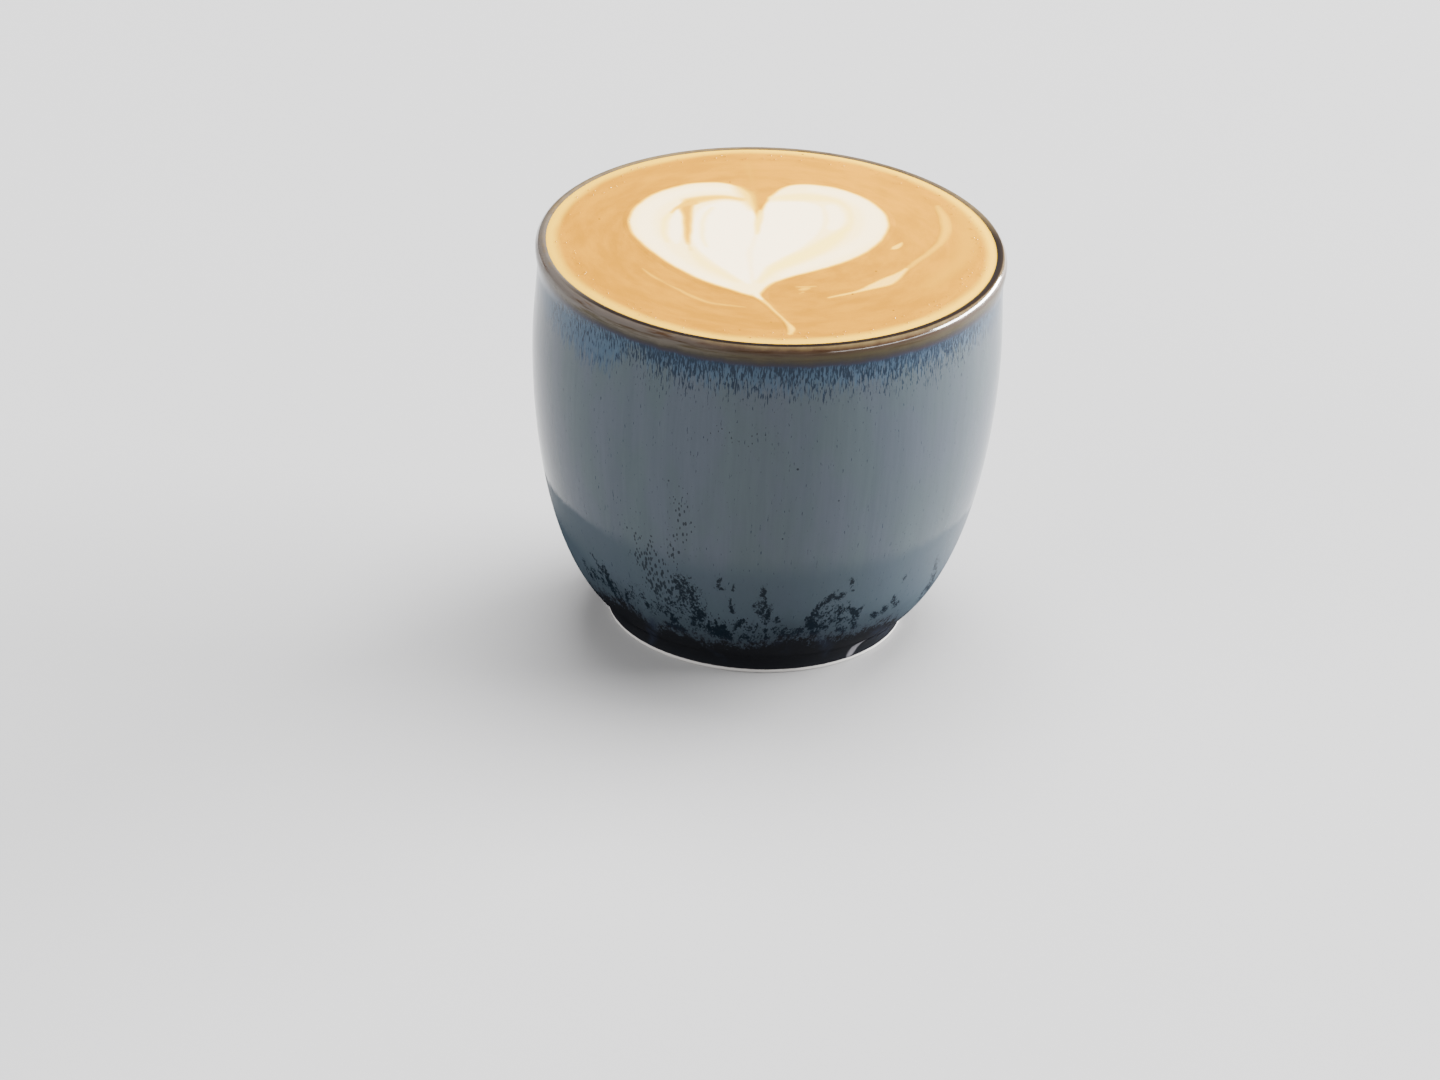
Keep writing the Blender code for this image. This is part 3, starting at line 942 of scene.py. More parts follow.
MOSS = (
    Stroke(((-36.0, 14.0, 1.4), (-30.0, 12.0, 1.6), (-24.0, 14.0, 2.0), (-18.0, 14.0, 2.6)), 0.34, 2.0),
    Stroke(((-19.0, 19.0, 1.2), (-17.0, 16.0, 1.6), (-16.0, 12.0, 2.0)), 0.58, 1.4),
    Stroke(((19.0, 13.0, 1.4), (24.0, 13.6, 2.2), (29.0, 12.0, 1.6)), 0.42, 1.6),
    Stroke(((-53.0, 13.0, 1.4), (-46.0, 13.0, 1.4), (-40.0, 11.0, 1.2)), 0.34, 1.4),
    Stroke(((-6.0, 10.6, 1.2), (2.0, 11.0, 1.6), (10.0, 10.4, 1.0)), 0.36, 1.4),
    Stroke(((-58.5, 14.5, 0.4), (-57.0, 12.0, 0.9)), 0.55, 0.8),
    Stroke(((-51.6, 17.6, 0.2), (-49.4, 15.9, 0.45), (-46.9, 13.8, 0.8), (-45.0, 11.0, 0.9)), 0.9, 0.7),
    Stroke(((-51.0, 14.6, 0.2), (-48.4, 14.4, 0.5)), 0.8, 0.5),
    Stroke(((-39.6, 13.6, 0.2), (-40.6, 11.6, 0.5)), 0.8, 0.5),
    Stroke(((-47.0, 17.2, 0.2), (-46.4, 14.6, 0.6)), 0.8, 0.6),
    Stroke(((-45.0, 14.0, 0.3), (-43.2, 11.5, 0.8)), 0.7, 0.8),
    Stroke(((-41.0, 11.2, 0.8), (-38.0, 9.6, 0.9)), 0.7, 0.8),
    Stroke(((-33.3, 13.7, 0.35), (-32.6, 12.0, 0.5)), 0.85, 0.5),
    Stroke(((-24.7, 12.0, 0.3), (-24.3, 10.8, 0.9)), 0.8, 0.6),
    Stroke(((-26.5, 9.0, 0.9), (-22.0, 8.8, 0.8)), 0.8, 0.7),
    Stroke(((-21.0, 19.8, 0.5), (-20.2, 17.6, 1.0), (-18.6, 16.0, 0.8)), 0.75, 1.0),
    Stroke(((-15.6, 18.5, 0.3), (-14.9, 17.6, 0.4)), 0.7, 0.5),
    Stroke(((-19.0, 13.4, 0.6), (-16.5, 13.6, 0.6), (-15.4, 11.0, 0.8), (-18.2, 10.2, 0.8)), 0.62, 1.0),
    Stroke(((-13.4, 10.6, 0.6), (-11.2, 9.6, 1.2), (-8.4, 9.6, 1.2), (-6.8, 8.6, 0.8)), 0.95, 0.9),
    Stroke(((-11.2, 12.7, 0.12), (-11.0, 10.8, 0.5)), 1.0, 0.4),
    Stroke(((-8.5, 12.6, 0.12), (-8.6, 10.8, 0.5)), 1.0, 0.4),
    Stroke(((-9.5, 21.0, 0.1), (-9.9, 19.4, 0.25)), 0.85, 0.4),
    Stroke(((-10.6, 19.2, 0.2), (-8.4, 19.0, 0.2)), 0.8, 0.4),
    Stroke(((-6.9, 17.1, 0.2), (-6.0, 14.8, 0.35)), 0.8, 0.5),
    Stroke(((-5.9, 20.1, 0.1), (-5.6, 19.2, 0.2)), 0.85, 0.35),
    Stroke(((-5.4, 10.6, 0.4), (-3.8, 12.7, 0.4), (-1.6, 12.4, 0.3)), 0.9, 0.5),
    Stroke(((-3.0, 9.0, 1.2), (0.4, 8.6, 0.9)), 0.6, 1.0),
    Stroke(((2.2, 20.0, 0.15), (2.3, 17.6, 0.5), (2.6, 15.6, 0.6), (3.4, 12.6, 0.5),
            (4.4, 9.4, 0.8)), 0.78, 0.8),
    Stroke(((-0.3, 16.1, 0.3), (1.0, 15.2, 0.3)), 0.9, 0.4),
    Stroke(((4.6, 16.4, 0.2), (4.0, 13.9, 0.35)), 0.9, 0.4),
    Stroke(((6.6, 13.8, 0.3), (6.7, 13.0, 0.4)), 0.9, 0.4),
    Stroke(((8.5, 10.2, 0.9), (12.0, 10.0, 1.0), (14.6, 10.6, 0.8)), 0.72, 1.0),
    Stroke(((16.2, 13.2, 0.6), (17.3, 11.9, 1.1), (18.6, 10.4, 1.0)), 1.0, 0.7),
    Stroke(((17.2, 13.4, 0.4), (18.0, 15.4, 0.45), (20.4, 16.8, 0.5), (22.2, 17.4, 0.4)), 0.95, 0.55),
    Stroke(((21.8, 17.4, 0.3), (22.8, 19.0, 0.15)), 0.95, 0.4),
    Stroke(((22.4, 16.9, 0.3), (24.2, 16.8, 0.3), (24.9, 17.7, 0.45)), 1.0, 0.4),
    Stroke(((19.8, 15.8, 0.3), (21.4, 14.4, 0.4), (22.8, 12.9, 0.4), (24.6, 12.0, 0.45)), 0.8, 0.5),
    Stroke(((20.4, 12.6, 0.4), (21.6, 10.8, 0.6)), 0.85, 0.5),
    Stroke(((27.2, 14.6, 0.3), (28.8, 13.6, 0.6), (30.6, 13.0, 0.7), (31.3, 12.0, 0.5)), 1.0, 0.45),
    Stroke(((30.8, 13.4, 0.2), (32.6, 14.1, 0.1)), 0.9, 0.35),
    Stroke(((30.4, 11.0, 0.3), (32.4, 9.6, 0.5)), 0.85, 0.5),
    Stroke(((26.4, 10.0, 0.4), (28.8, 9.2, 0.5)), 0.7, 0.6),
    Stroke(((26.15, 20.7, 0.12), (26.8, 19.3, 0.17), (27.35, 18.0, 0.08)), 1.2, 0.22),
    Stroke(((36.0, 18.9, 0.1), (36.4, 17.8, 0.15)), 0.75, 0.35),
    Stroke(((44.8, 17.8, 0.2), (45.2, 17.2, 0.3)), 0.95, 0.35),
    Stroke(((37.4, 11.8, 0.3), (38.8, 10.9, 0.7)), 0.95, 0.5),
    Stroke(((41.2, 12.5, 0.4), (42.2, 11.6, 0.6)), 0.95, 0.5),
    Stroke(((43.4, 14.3, 0.3), (44.8, 12.8, 0.5), (46.4, 11.8, 0.5)), 0.85, 0.5),
    Stroke(((58.6, 18.0, 0.3), (60.5, 16.4, 0.5), (62.5, 13.6, 0.8), (64.5, 11.0, 1.0)), 0.62, 0.9),
    Stroke(((90.0, 10.0, 1.8), (112.0, 12.0, 2.2), (134.0, 10.0, 1.8)), 0.36, 1.8),
    Stroke(((146.0, 10.0, 1.8), (170.0, 11.0, 1.6), (196.0, 10.0, 2.0)), 0.32, 1.8),
    Stroke(((-152.0, 10.0, 1.8), (-134.0, 13.0, 2.2), (-110.0, 10.0, 1.8)), 0.38, 1.8),
    Stroke(((62.0, 10.0, 1.6), (72.0, 11.0, 1.8), (86.0, 10.0, 1.6)), 0.36, 1.6),
    Stroke(((78.0, 9.0, 1.1), (80.0, 12.0, 0.8), (83.0, 14.5, 0.4)), 0.7, 0.9),
    Stroke(((95.0, 8.0, 1.4), (97.0, 11.5, 0.9), (94.0, 13.5, 0.3)), 0.7, 0.9),
    Stroke(((112.0, 9.0, 1.8), (116.0, 11.0, 1.2), (118.0, 16.0, 0.4)), 0.68, 1.0),
    Stroke(((133.0, 8.5, 1.6), (131.0, 12.5, 0.8)), 0.68, 0.9),
    Stroke(((150.0, 9.0, 1.8), (153.0, 13.0, 1.1), (151.0, 16.5, 0.3)), 0.66, 1.0),
    Stroke(((166.0, 9.0, 1.2), (168.0, 12.5, 0.6)), 0.9, 0.7),
    Stroke(((-168.0, 8.5, 1.6), (-165.0, 12.0, 1.0), (-166.0, 14.5, 0.3)), 0.7, 0.9),
    Stroke(((-148.0, 9.0, 1.2), (-146.0, 11.5, 0.8)), 0.9, 0.7),
    Stroke(((-130.0, 8.5, 1.8), (-127.0, 13.0, 1.1), (-129.0, 16.0, 0.3)), 0.68, 1.0),
    Stroke(((-108.0, 9.0, 1.3), (-106.0, 13.0, 0.8)), 0.9, 0.8),
    Stroke(((-88.0, 8.5, 1.2), (-90.0, 13.0, 0.8), (-87.0, 16.0, 0.4)), 0.85, 0.8),
    Stroke(((-72.0, 9.0, 1.2), (-70.0, 12.5, 0.7)), 0.85, 0.8),
)

SPECKLED = (
    Stroke(((-33.5, 22.5, 1.2), (-28.5, 20.5, 3.0), (-25.0, 16.8, 3.4), (-19.5, 16.5, 2.6)), 1.0, 2.4),
    Stroke(((-20.0, 36.0, 0.8), (-19.0, 31.0, 1.6), (-20.5, 27.0, 1.6), (-24.0, 23.0, 2.0)), 0.78, 2.0),
    Stroke(((-36.0, 27.0, 0.8), (-31.0, 25.0, 1.8), (-27.0, 22.0, 2.0)), 0.74, 2.2),
    Stroke(((-30.0, 12.0, 1.0), (-18.0, 12.0, 1.4), (-8.0, 13.0, 1.2), (4.0, 12.0, 1.2)), 0.55, 2.0),
    Stroke(((-33.0, 31.0, 0.8), (-38.0, 27.0, 0.8)), 0.40, 1.6),
    Stroke(((-12.0, 47.5, 1.0), (-4.0, 46.0, 1.4), (2.0, 49.0, 1.0)), 0.45, 2.5),
    Stroke(((6.0, 34.0, 0.6), (9.0, 28.0, 0.8)), 0.30, 2.0),
    Stroke(((16.0, 12.0, 1.4), (30.0, 11.0, 1.4)), 0.50, 1.6),
    Stroke(((38.0, 28.0, 1.0), (42.0, 23.0, 1.0)), 0.38, 1.8),
    Stroke(((104.0, 12.0, 2.0), (125.0, 16.0, 3.4), (140.0, 11.0, 2.0)), 1.0, 2.4),
    Stroke(((150.0, 11.0, 1.6), (166.0, 12.0, 2.2), (182.0, 11.0, 1.6)), 0.7, 2.2),
    Stroke(((-112.0, 11.0, 1.6), (-96.0, 13.0, 2.2), (-80.0, 11.0, 1.6)), 0.7, 2.2),
    Stroke(((-160.0, 15.0, 2.0), (-140.0, 20.0, 2.6), (-118.0, 14.0, 2.0)), 0.8, 2.2),
    Stroke(((-128.0, 34.0, 0.8), (-126.0, 26.0, 1.2)), 0.5, 1.8),
)

# The painted glint on the foot, a painted highlight, in degrees from the front and millimetres up.
GLINTED = (
    Stroke(((40.4, 1.0, 0.4), (41.6, 1.8, 1.0), (42.8, 2.6, 0.95), (44.6, 3.6, 0.25)), 1.0, 0.3),
)

WASHED = (
    Stroke(((-31.8, 9.2, 0.7), (-35.5, 6.2, 0.9), (-39.5, 3.4, 0.8), (-43.0, 1.4, 0.4)), 1.0, 0.8),
    Stroke(((21.0, 8.2, 0.5), (25.0, 6.0, 1.0), (29.0, 3.4, 0.7)), 0.7, 1.2),
    Stroke(((8.0, 8.0, 0.5), (10.5, 6.2, 0.8), (12.0, 4.6, 0.4)), 0.5, 1.0),
    Stroke(((-15.0, 4.6, 0.4), (-12.5, 3.4, 0.5), (-10.6, 2.0, 0.3)), 0.45, 0.8),
    Stroke(((44.0, 6.4, 0.8), (54.0, 4.0, 1.2), (66.0, 2.4, 1.0)), 0.7, 1.6),
    Stroke(((88.0, 6.0, 0.6), (92.0, 3.4, 0.8)), 0.8, 1.2),
    Stroke(((140.0, 6.4, 0.6), (146.0, 3.0, 0.8)), 0.8, 1.2),
    Stroke(((-156.0, 6.6, 0.6), (-150.0, 3.0, 0.8)), 0.8, 1.2),
    Stroke(((-98.0, 7.0, 0.6), (-94.0, 3.0, 0.8)), 0.8, 1.2),
)


@dataclass
class GlazeMarks:
    """Where the glaze changes on the cup's side, and where painted light lies on it: a glint on the foot and a sheen
    on the rim's left.

    Strokes and edges are in degrees from the front and millimetres above the foot.
    """

    drawn: ClassVar[dict[str, tuple[Stroke, ...]]] = {
        "moss": MOSS, "specks": SPECKLED, "wash": WASHED, "foot_glint": GLINTED,
    }
    edges: ClassVar[tuple[str, ...]] = ("run", "navy", "tide", "lap", "feather", "rim_sheen")
    rim_radius: float = 36.0
    run: tuple[Knot, ...] = (
        (-150, 54.0), (-120, 55.5), (-95, 54.0), (-75, 54.2), (-60, 53.0), (-50, 52.2), (-44, 52.0),
        (-39, 53.6),
        (-36, 56.2), (-33.5, 57.6), (-30, 56.2), (-26, 55.4), (-20, 54.9), (-10, 54.7), (0, 54.5),
        (15, 54.6),
        (30, 55.0), (48, 55.7), (70, 55.0), (90, 55.5), (120, 54.0), (160, 55.0),
    )
    navy: tuple[Knot, ...] = (
        (-150, 57.0), (-100, 57.4), (-70, 59.2), (-50, 58.5), (-37, 58.7), (-33, 58.4), (-29, 57.3),
        (-20, 56.9),
        (-10, 57.3), (5, 57.5), (25, 57.3), (50, 57.0), (70, 58.4), (100, 57.5), (150, 56.8),
    )
    tide: tuple[Knot, ...] = (
        (-150, 9.0), (-125, 7.5), (-100, 8.5), (-80, 7.0), (-65, 8.0), (-50, 9.6), (-43, 10.6), (-37, 9.0),
        (-33, 7.0), (-28, 8.4), (-20, 7.4), (-12, 7.0), (-4, 7.2), (3, 7.4), (9, 9.0), (15, 9.2), (22, 8.2),
        (30, 7.8), (38, 8.6), (48, 8.2), (56, 6.6), (70, 6.0), (95, 8.6), (120, 7.4), (150, 9.4),
    )
    lap: tuple[Knot, ...] = (
        (-150, 23.5), (-110, 24.5), (-75, 24.2), (-55, 24.4), (-35, 23.6), (-10, 23.2), (15, 23.6),
        (35, 23.0),
        (60, 23.4), (90, 22.6), (140, 24.0),
    )
    feather: tuple[Knot, ...] = (
        (-140, 1.6), (-75, 1.2), (-52, 1.4), (-36, 4.0), (-15, 6.5), (10, 6.0), (38, 4.0), (56, 1.6),
        (75, 1.2), (140, 3.0),
    )
    # Where the rim's painted sheen lies, strongest on the left; it also lowers the rim's bands there.
    rim_sheen: tuple[Knot, ...] = (
        (-150, 0.2), (-100, 0.8), (-75, 1.0), (-50, 1.0), (-34, 0.9), (-20, 0.7), (-6, 0.25), (20, 0.1),
        (60, 0.3),
        (110, 0.2), (150, 0.6),
    )

    def paint(self, mesh: bpy.types.Mesh) -> None:
        """Writes the fields that the glaze reads on a cup in metres."""
        x, y, height = corners_of(mesh).T
        turn = np.degrees(np.arctan2(x, -y))
        wall = np.stack((self._round(turn), height), axis=1)
        fields = {name: self._strongest(strokes, wall) for name, strokes in self.drawn.items()}
        for name in self.edges:
            places, heights = np.array(getattr(self, name), float).T
            fields[name] = np.interp(turn, places, heights, period=360.0)
        keep_fields(mesh, fields)

    def _round(self, degrees: np.ndarray) -> np.ndarray:
        """Millimetres round the rim for degrees from the front."""
        return degrees * math.pi / 180 * self.rim_radius

    def _strongest(self, strokes: tuple[Stroke, ...], wall: np.ndarray) -> np.ndarray:
        """The strongest of some strokes at each point of the unrolled wall, which closes on itself."""
        girth = 2 * math.pi * self.rim_radius
        most = np.zeros(len(wall))
        for stroke in strokes:
            knots = np.array(stroke.knots, float)
            knots[:, 0] = self._round(knots[:, 0])
            flat = replace(stroke, knots=tuple(map(tuple, knots)))
            for lap in (-girth, 0.0, girth):
                most = np.maximum(most, flat.cover(wall + (lap, 0.0)) * stroke.amount)
        return most


class NodeTree:
    """A Geometry Nodes tree with named inputs."""

    def __init__(self, name: str) -> None:
        """Makes the group with a geometry input and output."""
        self.group = bpy.data.node_groups.new(name, "GeometryNodeTree")
        self.group.interface.new_socket("Geometry", in_out="INPUT", socket_type="NodeSocketGeometry")
        self.group.interface.new_socket("Geometry", in_out="OUTPUT", socket_type="NodeSocketGeometry")
        self.inputs: dict[str, str] = {}
        self.entry = self.group.nodes.new("NodeGroupInput")
        self.exit = self.group.nodes.new("NodeGroupOutput")

    def ask(self, name: str, kind: str, value: object = None) -> None:
        """Adds a named input.

        Args:
            name: The input's name.
            kind: Its socket type.
            value: Its usual value.
        """
        made = self.group.interface.new_socket(name, in_out="INPUT", socket_type=kind)
        if value is not None:
            made.default_value = value
        self.inputs[name] = made.identifier

    def given(self, name: str) -> bpy.types.NodeSocket:
        """The socket that an input arrives at."""
        return self.entry.outputs[name]

    def node(
        self, kind: str, settings: dict[str, object] | None = None, sockets: dict[int | str, object] | None = None
    ) -> bpy.types.Node:
        """Makes a node, with its settings first and its sockets after them.

        Args:
            kind: The node's type.
            settings: Its properties.
            sockets: Values, or sockets to link from, by index or name.

        Returns:
            The node.
        """
        made = self.group.nodes.new(kind)
        for key, value in (settings or {}).items():
            setattr(made, key, value)
        for key, value in (sockets or {}).items():
            if isinstance(value, bpy.types.NodeSocket):
                self.group.links.new(value, made.inputs[key])
            else:
                made.inputs[key].default_value = value
        return made

    def maths(self, operation: str, *values: object) -> bpy.types.NodeSocket:
        """The result of a Math node on these values."""
        return self.node("ShaderNodeMath", {"operation": operation}, dict(enumerate(values))).outputs[0]

    def close(self, geometry: bpy.types.NodeSocket, material: bpy.types.NodeSocket) -> None:
        """Ends the tree in Realize Instances and Set Material."""
        real = self.node("GeometryNodeRealizeInstances", {}, {0: geometry})
        dressed = self.node("GeometryNodeSetMaterial", {}, {"Geometry": real.outputs[0], "Material": material})
        self.group.links.new(dressed.outputs[0], self.exit.inputs[0])

    def bake(self, start: bpy.types.Mesh, name: str, values: dict[str, object]) -> bpy.types.Object:
        """Runs the tree on a mesh and keeps the result as a plain mesh.

        Args:
            start: The mesh that the tree starts from.
            name: The name of the piece.
            values: The tree's inputs, by name.

        Returns:
            The piece.
        """
        made = new_object(name, start)
        modifier = made.modifiers.new("shape", "NODES")
        modifier.node_group = self.group
        for key, value in values.items():
            modifier[self.inputs[key]] = value
        seen = bpy.context.evaluated_depsgraph_get()
        finished = bpy.data.meshes.new_from_object(made.evaluated_get(seen), depsgraph=seen)
        made.modifiers.remove(modifier)
        made.data = finished
        finished.name = name
        return made


def faces_out(mesh: bpy.types.Mesh) -> None:
    """Turns the faces of a closed mesh outwards and closes its seams."""
    shape = bmesh.new()
    shape.from_mesh(mesh)
    bmesh.ops.remove_doubles(shape, verts=shape.verts, dist=2e-6)
    bmesh.ops.recalc_face_normals(shape, faces=shape.faces)
    shape.to_mesh(mesh)
    shape.free()


def standing_for(piece: bpy.types.Object, slot: str, *nodes: str) -> None:
    """Places a finished piece on the body, in the stead of CAD nodes."""
    if nodes:
        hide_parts(*nodes)
    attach(piece, BODY)
    log.info("%s: %d faces, stands for %s", piece.name, len(piece.data.polygons), ", ".join(nodes) or "itself")


@dataclass
class Cup:
    """The turned cup, in millimetres."""

    rim_radius: float = 36.0
    height: float = 62.0
    wall: float = 3.1
    lip_thick: float = 1.1
    lip_high: float = 1.4
    neck_radius: float = 35.6
    neck_height: float = 57.4
    belly_radius: float = 35.93
    belly_height: float = 46.5
    side_depth: float = 47.6
    side_power: float = 1.80
    side_root: float = 4.50
    foot_radius: float = 22.8
    foot_top: float = 3.7
    chamfer: float = 0.4
    ring_width: float = 3.6
    recess: float = 1.7
    slope: float = 1.2
    floor: float = 6.0
    steps_around: int = 432
    waviness: float = 0.06
    glaze: ReactiveGlaze = field(default_factory=ReactiveGlaze)
    marks: GlazeMarks = field(default_factory=GlazeMarks)

    def side(self, height: np.ndarray, belly: float, depth: float) -> np.ndarray:
        """The radius of a bowl-shaped side at heights below the belly."""
        drop = np.clip((self.belly_height - height) / depth, 0.0, 1.0)
        return belly * (1 - drop**self.side_power) ** (1 / self.side_root)

    def profile(self) -> np.ndarray:
        """The outline of the turned shape.

        Returns:
            Rows of radius and height, from the middle of the recess up the outside and down the inside.
        """
        inner_foot = self.foot_radius - self.ring_width
        foot = [
            (0.0, self.recess), (6.0, self.recess), (12.0, self.recess),
            (inner_foot - self.slope - 0.3, self.recess),
            (inner_foot - self.slope, self.recess - 0.05), (inner_foot - 0.15, self.chamfer + 0.2),
            (inner_foot, self.chamfer), (inner_foot + 0.12, 0.12), (inner_foot + self.chamfer, 0.0),
            (self.foot_radius - self.chamfer, 0.0), (self.foot_radius - 0.12, 0.12),
            (self.foot_radius, self.chamfer), (self.foot_radius, 0.8),
        ]
        start = self.side(np.array([self.foot_top + 0.9, self.foot_top]), self.belly_radius, self.side_depth)
        steep = 0.9 / (start[0] - start[1])
        corner = self.foot_top - steep * (start[1] - self.foot_radius)
        t = np.linspace(1.0, 0.0, 9)[1:-1]
        fillet = np.stack(
            (
                (1 - t) ** 2 * start[1] + (1 - (1 - t) ** 2) * self.foot_radius,
                (1 - t) ** 2 * self.foot_top + 2 * t * (1 - t) * corner + t**2 * 0.8,
            ),
            axis=1,
        )
        up = self.foot_top + (self.belly_height - self.foot_top) * np.linspace(0.0, 1.0, 84) ** 1.15
        side = np.stack((self.side(up, self.belly_radius, self.side_depth), up), axis=1)
        lip_side = self.height - self.lip_high
        rise = np.linspace(0.0, 1.0, 14)[1:]
        neck = np.stack(
            (
                self.belly_radius + (self.neck_radius - self.belly_radius) * eased(rise),
                self.belly_height + (self.neck_height - self.belly_height) * rise,
            ),
            axis=1,
        )
        flare = np.stack(
            (
                self.neck_radius + (self.rim_radius - self.neck_radius) * eased(rise),
                self.neck_height + (lip_side - self.neck_height) * rise,
            ),
            axis=1,
        )
        turn = np.linspace(0.0, math.pi, 25)[1:]
        lip = np.stack(
            (
                self.rim_radius - self.lip_thick * (1 - np.cos(turn)),
                self.height - self.lip_high * (1 - np.sin(turn)),
            ),
            axis=1,
        )
        inside = self.belly_radius - self.wall
        down = np.linspace(1.0, 0.0, 12)[1:]
        inner_neck = np.stack(
            (
                inside + (lip[-1, 0] - inside) * eased(down),
                self.belly_height + (lip[-1, 1] - self.belly_height) * down,
            ),
            axis=1,
        )
        depth = self.belly_height - self.floor
        well = self.floor + depth * np.linspace(1.0, 0.0, 30)[1:] ** 2.4
        bowl = np.stack((self.side(well, inside, depth), well), axis=1)
        return np.vstack((foot, fillet, side, neck, flare, lip, inner_neck, bowl))

    def build(self) -> bpy.types.Object:
        """Turns the profile into the cup and dresses it.

        Returns:
            The cup.
        """
        outline = self.profile()
        start = bpy.data.meshes.new("cup_profile")
        points = np.stack((outline[:, 0], np.zeros(len(outline)), outline[:, 1]), axis=1) * MM
        start.from_pydata(points.tolist(), [(i, i + 1) for i in range(len(points) - 1)], [])
        values = {
            "Steps Around": self.steps_around,
            "Waviness": self.waviness * MM,
            "Wave Size": 14.0 * MM,
            "Seed": 4.0,
            "Glaze": self.glaze.make(),
        }
        piece = self._lathe().bake(start, "glazed_cup", values)
        faces_out(piece.data)
        piece.data.shade_smooth()
        self.marks.paint(piece.data)
        return piece

    @staticmethod
    def _lathe() -> NodeTree:
        """The tree that turns a profile about Z, with the slight unevenness of a glazed wall.

        Returns:
            The tree.
        """
        tree = NodeTree("turned_cup")
        tree.ask("Steps Around", "NodeSocketInt", 288)
        tree.ask("Waviness", "NodeSocketFloat", 0.00006)
        tree.ask("Wave Size", "NodeSocketFloat", 0.014)
        tree.ask("Seed", "NodeSocketFloat", 4.0)
        tree.ask("Glaze", "NodeSocketMaterial")
        size = tree.node("GeometryNodeAttributeDomainSize", {"component": "MESH"}, {0: tree.given("Geometry")})
        count = size.outputs["Point Count"]
        around = tree.maths("ADD", tree.given("Steps Around"), 1.0)
        grid = tree.node(
            "GeometryNodeMeshGrid", {}, {"Size X": 1.0, "Size Y": 1.0, "Vertices X": around, "Vertices Y": count}
        )
        place = tree.node("GeometryNodeInputPosition").outputs[0]
        split = tree.node("ShaderNodeSeparateXYZ", {}, {0: place}).outputs
        last = tree.maths("SUBTRACT", count, 1.0)
        step = tree.maths("ROUND", tree.maths("MULTIPLY", tree.maths("ADD", split[1], 0.5), last))
        angle = tree.maths("MULTIPLY", tree.maths("ADD", split[0], 0.5), 2 * math.pi)
        taken = tree.node(
            "GeometryNodeSampleIndex",
            {"data_type": "FLOAT_VECTOR", "domain": "POINT"},
            {"Geometry": tree.given("Geometry"), "Value": place, "Index": step},
        )
        point = tree.node("ShaderNodeSeparateXYZ", {}, {0: taken.outputs[0]}).outputs
        cosine, sine = tree.maths("COSINE", angle), tree.maths("SINE", angle)
        direction = tree.node("ShaderNodeCombineXYZ", {}, {0: cosine, 1: sine, 2: 0.0}).outputs[0]
        lifted = tree.node(
            "ShaderNodeCombineXYZ",
            {},
            {0: tree.maths("MULTIPLY", cosine, point[0]), 1: tree.maths("MULTIPLY", sine, point[0]), 2: point[2]},
        ).outputs[0]
        wave = tree.node(
            "ShaderNodeTexNoise",
            {"noise_dimensions": "4D"},
            {
                "Vector": lifted,
                "W": tree.given("Seed"),
                "Scale": tree.maths("DIVIDE", 1.0, tree.given("Wave Size")),
                "Detail": 2.0,
            },
        ).outputs[0]
        swell = tree.maths("MULTIPLY", tree.maths("SUBTRACT", wave, 0.5), tree.given("Waviness"))
        outward = tree.maths("GREATER_THAN", point[0], 0.0227)
        swell = tree.maths("MULTIPLY", swell, outward)
        push = tree.node("ShaderNodeVectorMath", {"operation": "SCALE"}, {0: direction, "Scale": swell}).outputs[0]
        final = tree.node("ShaderNodeVectorMath", {"operation": "ADD"}, {0: lifted, 1: push}).outputs[0]
        moved = tree.node("GeometryNodeSetPosition", {}, {"Geometry": grid.outputs["Mesh"], "Position": final})
        joined = tree.node("GeometryNodeMergeByDistance", {}, {"Geometry": moved.outputs[0], "Distance": 2e-6})
        tree.close(joined.outputs[0], tree.given("Glaze"))
        return tree


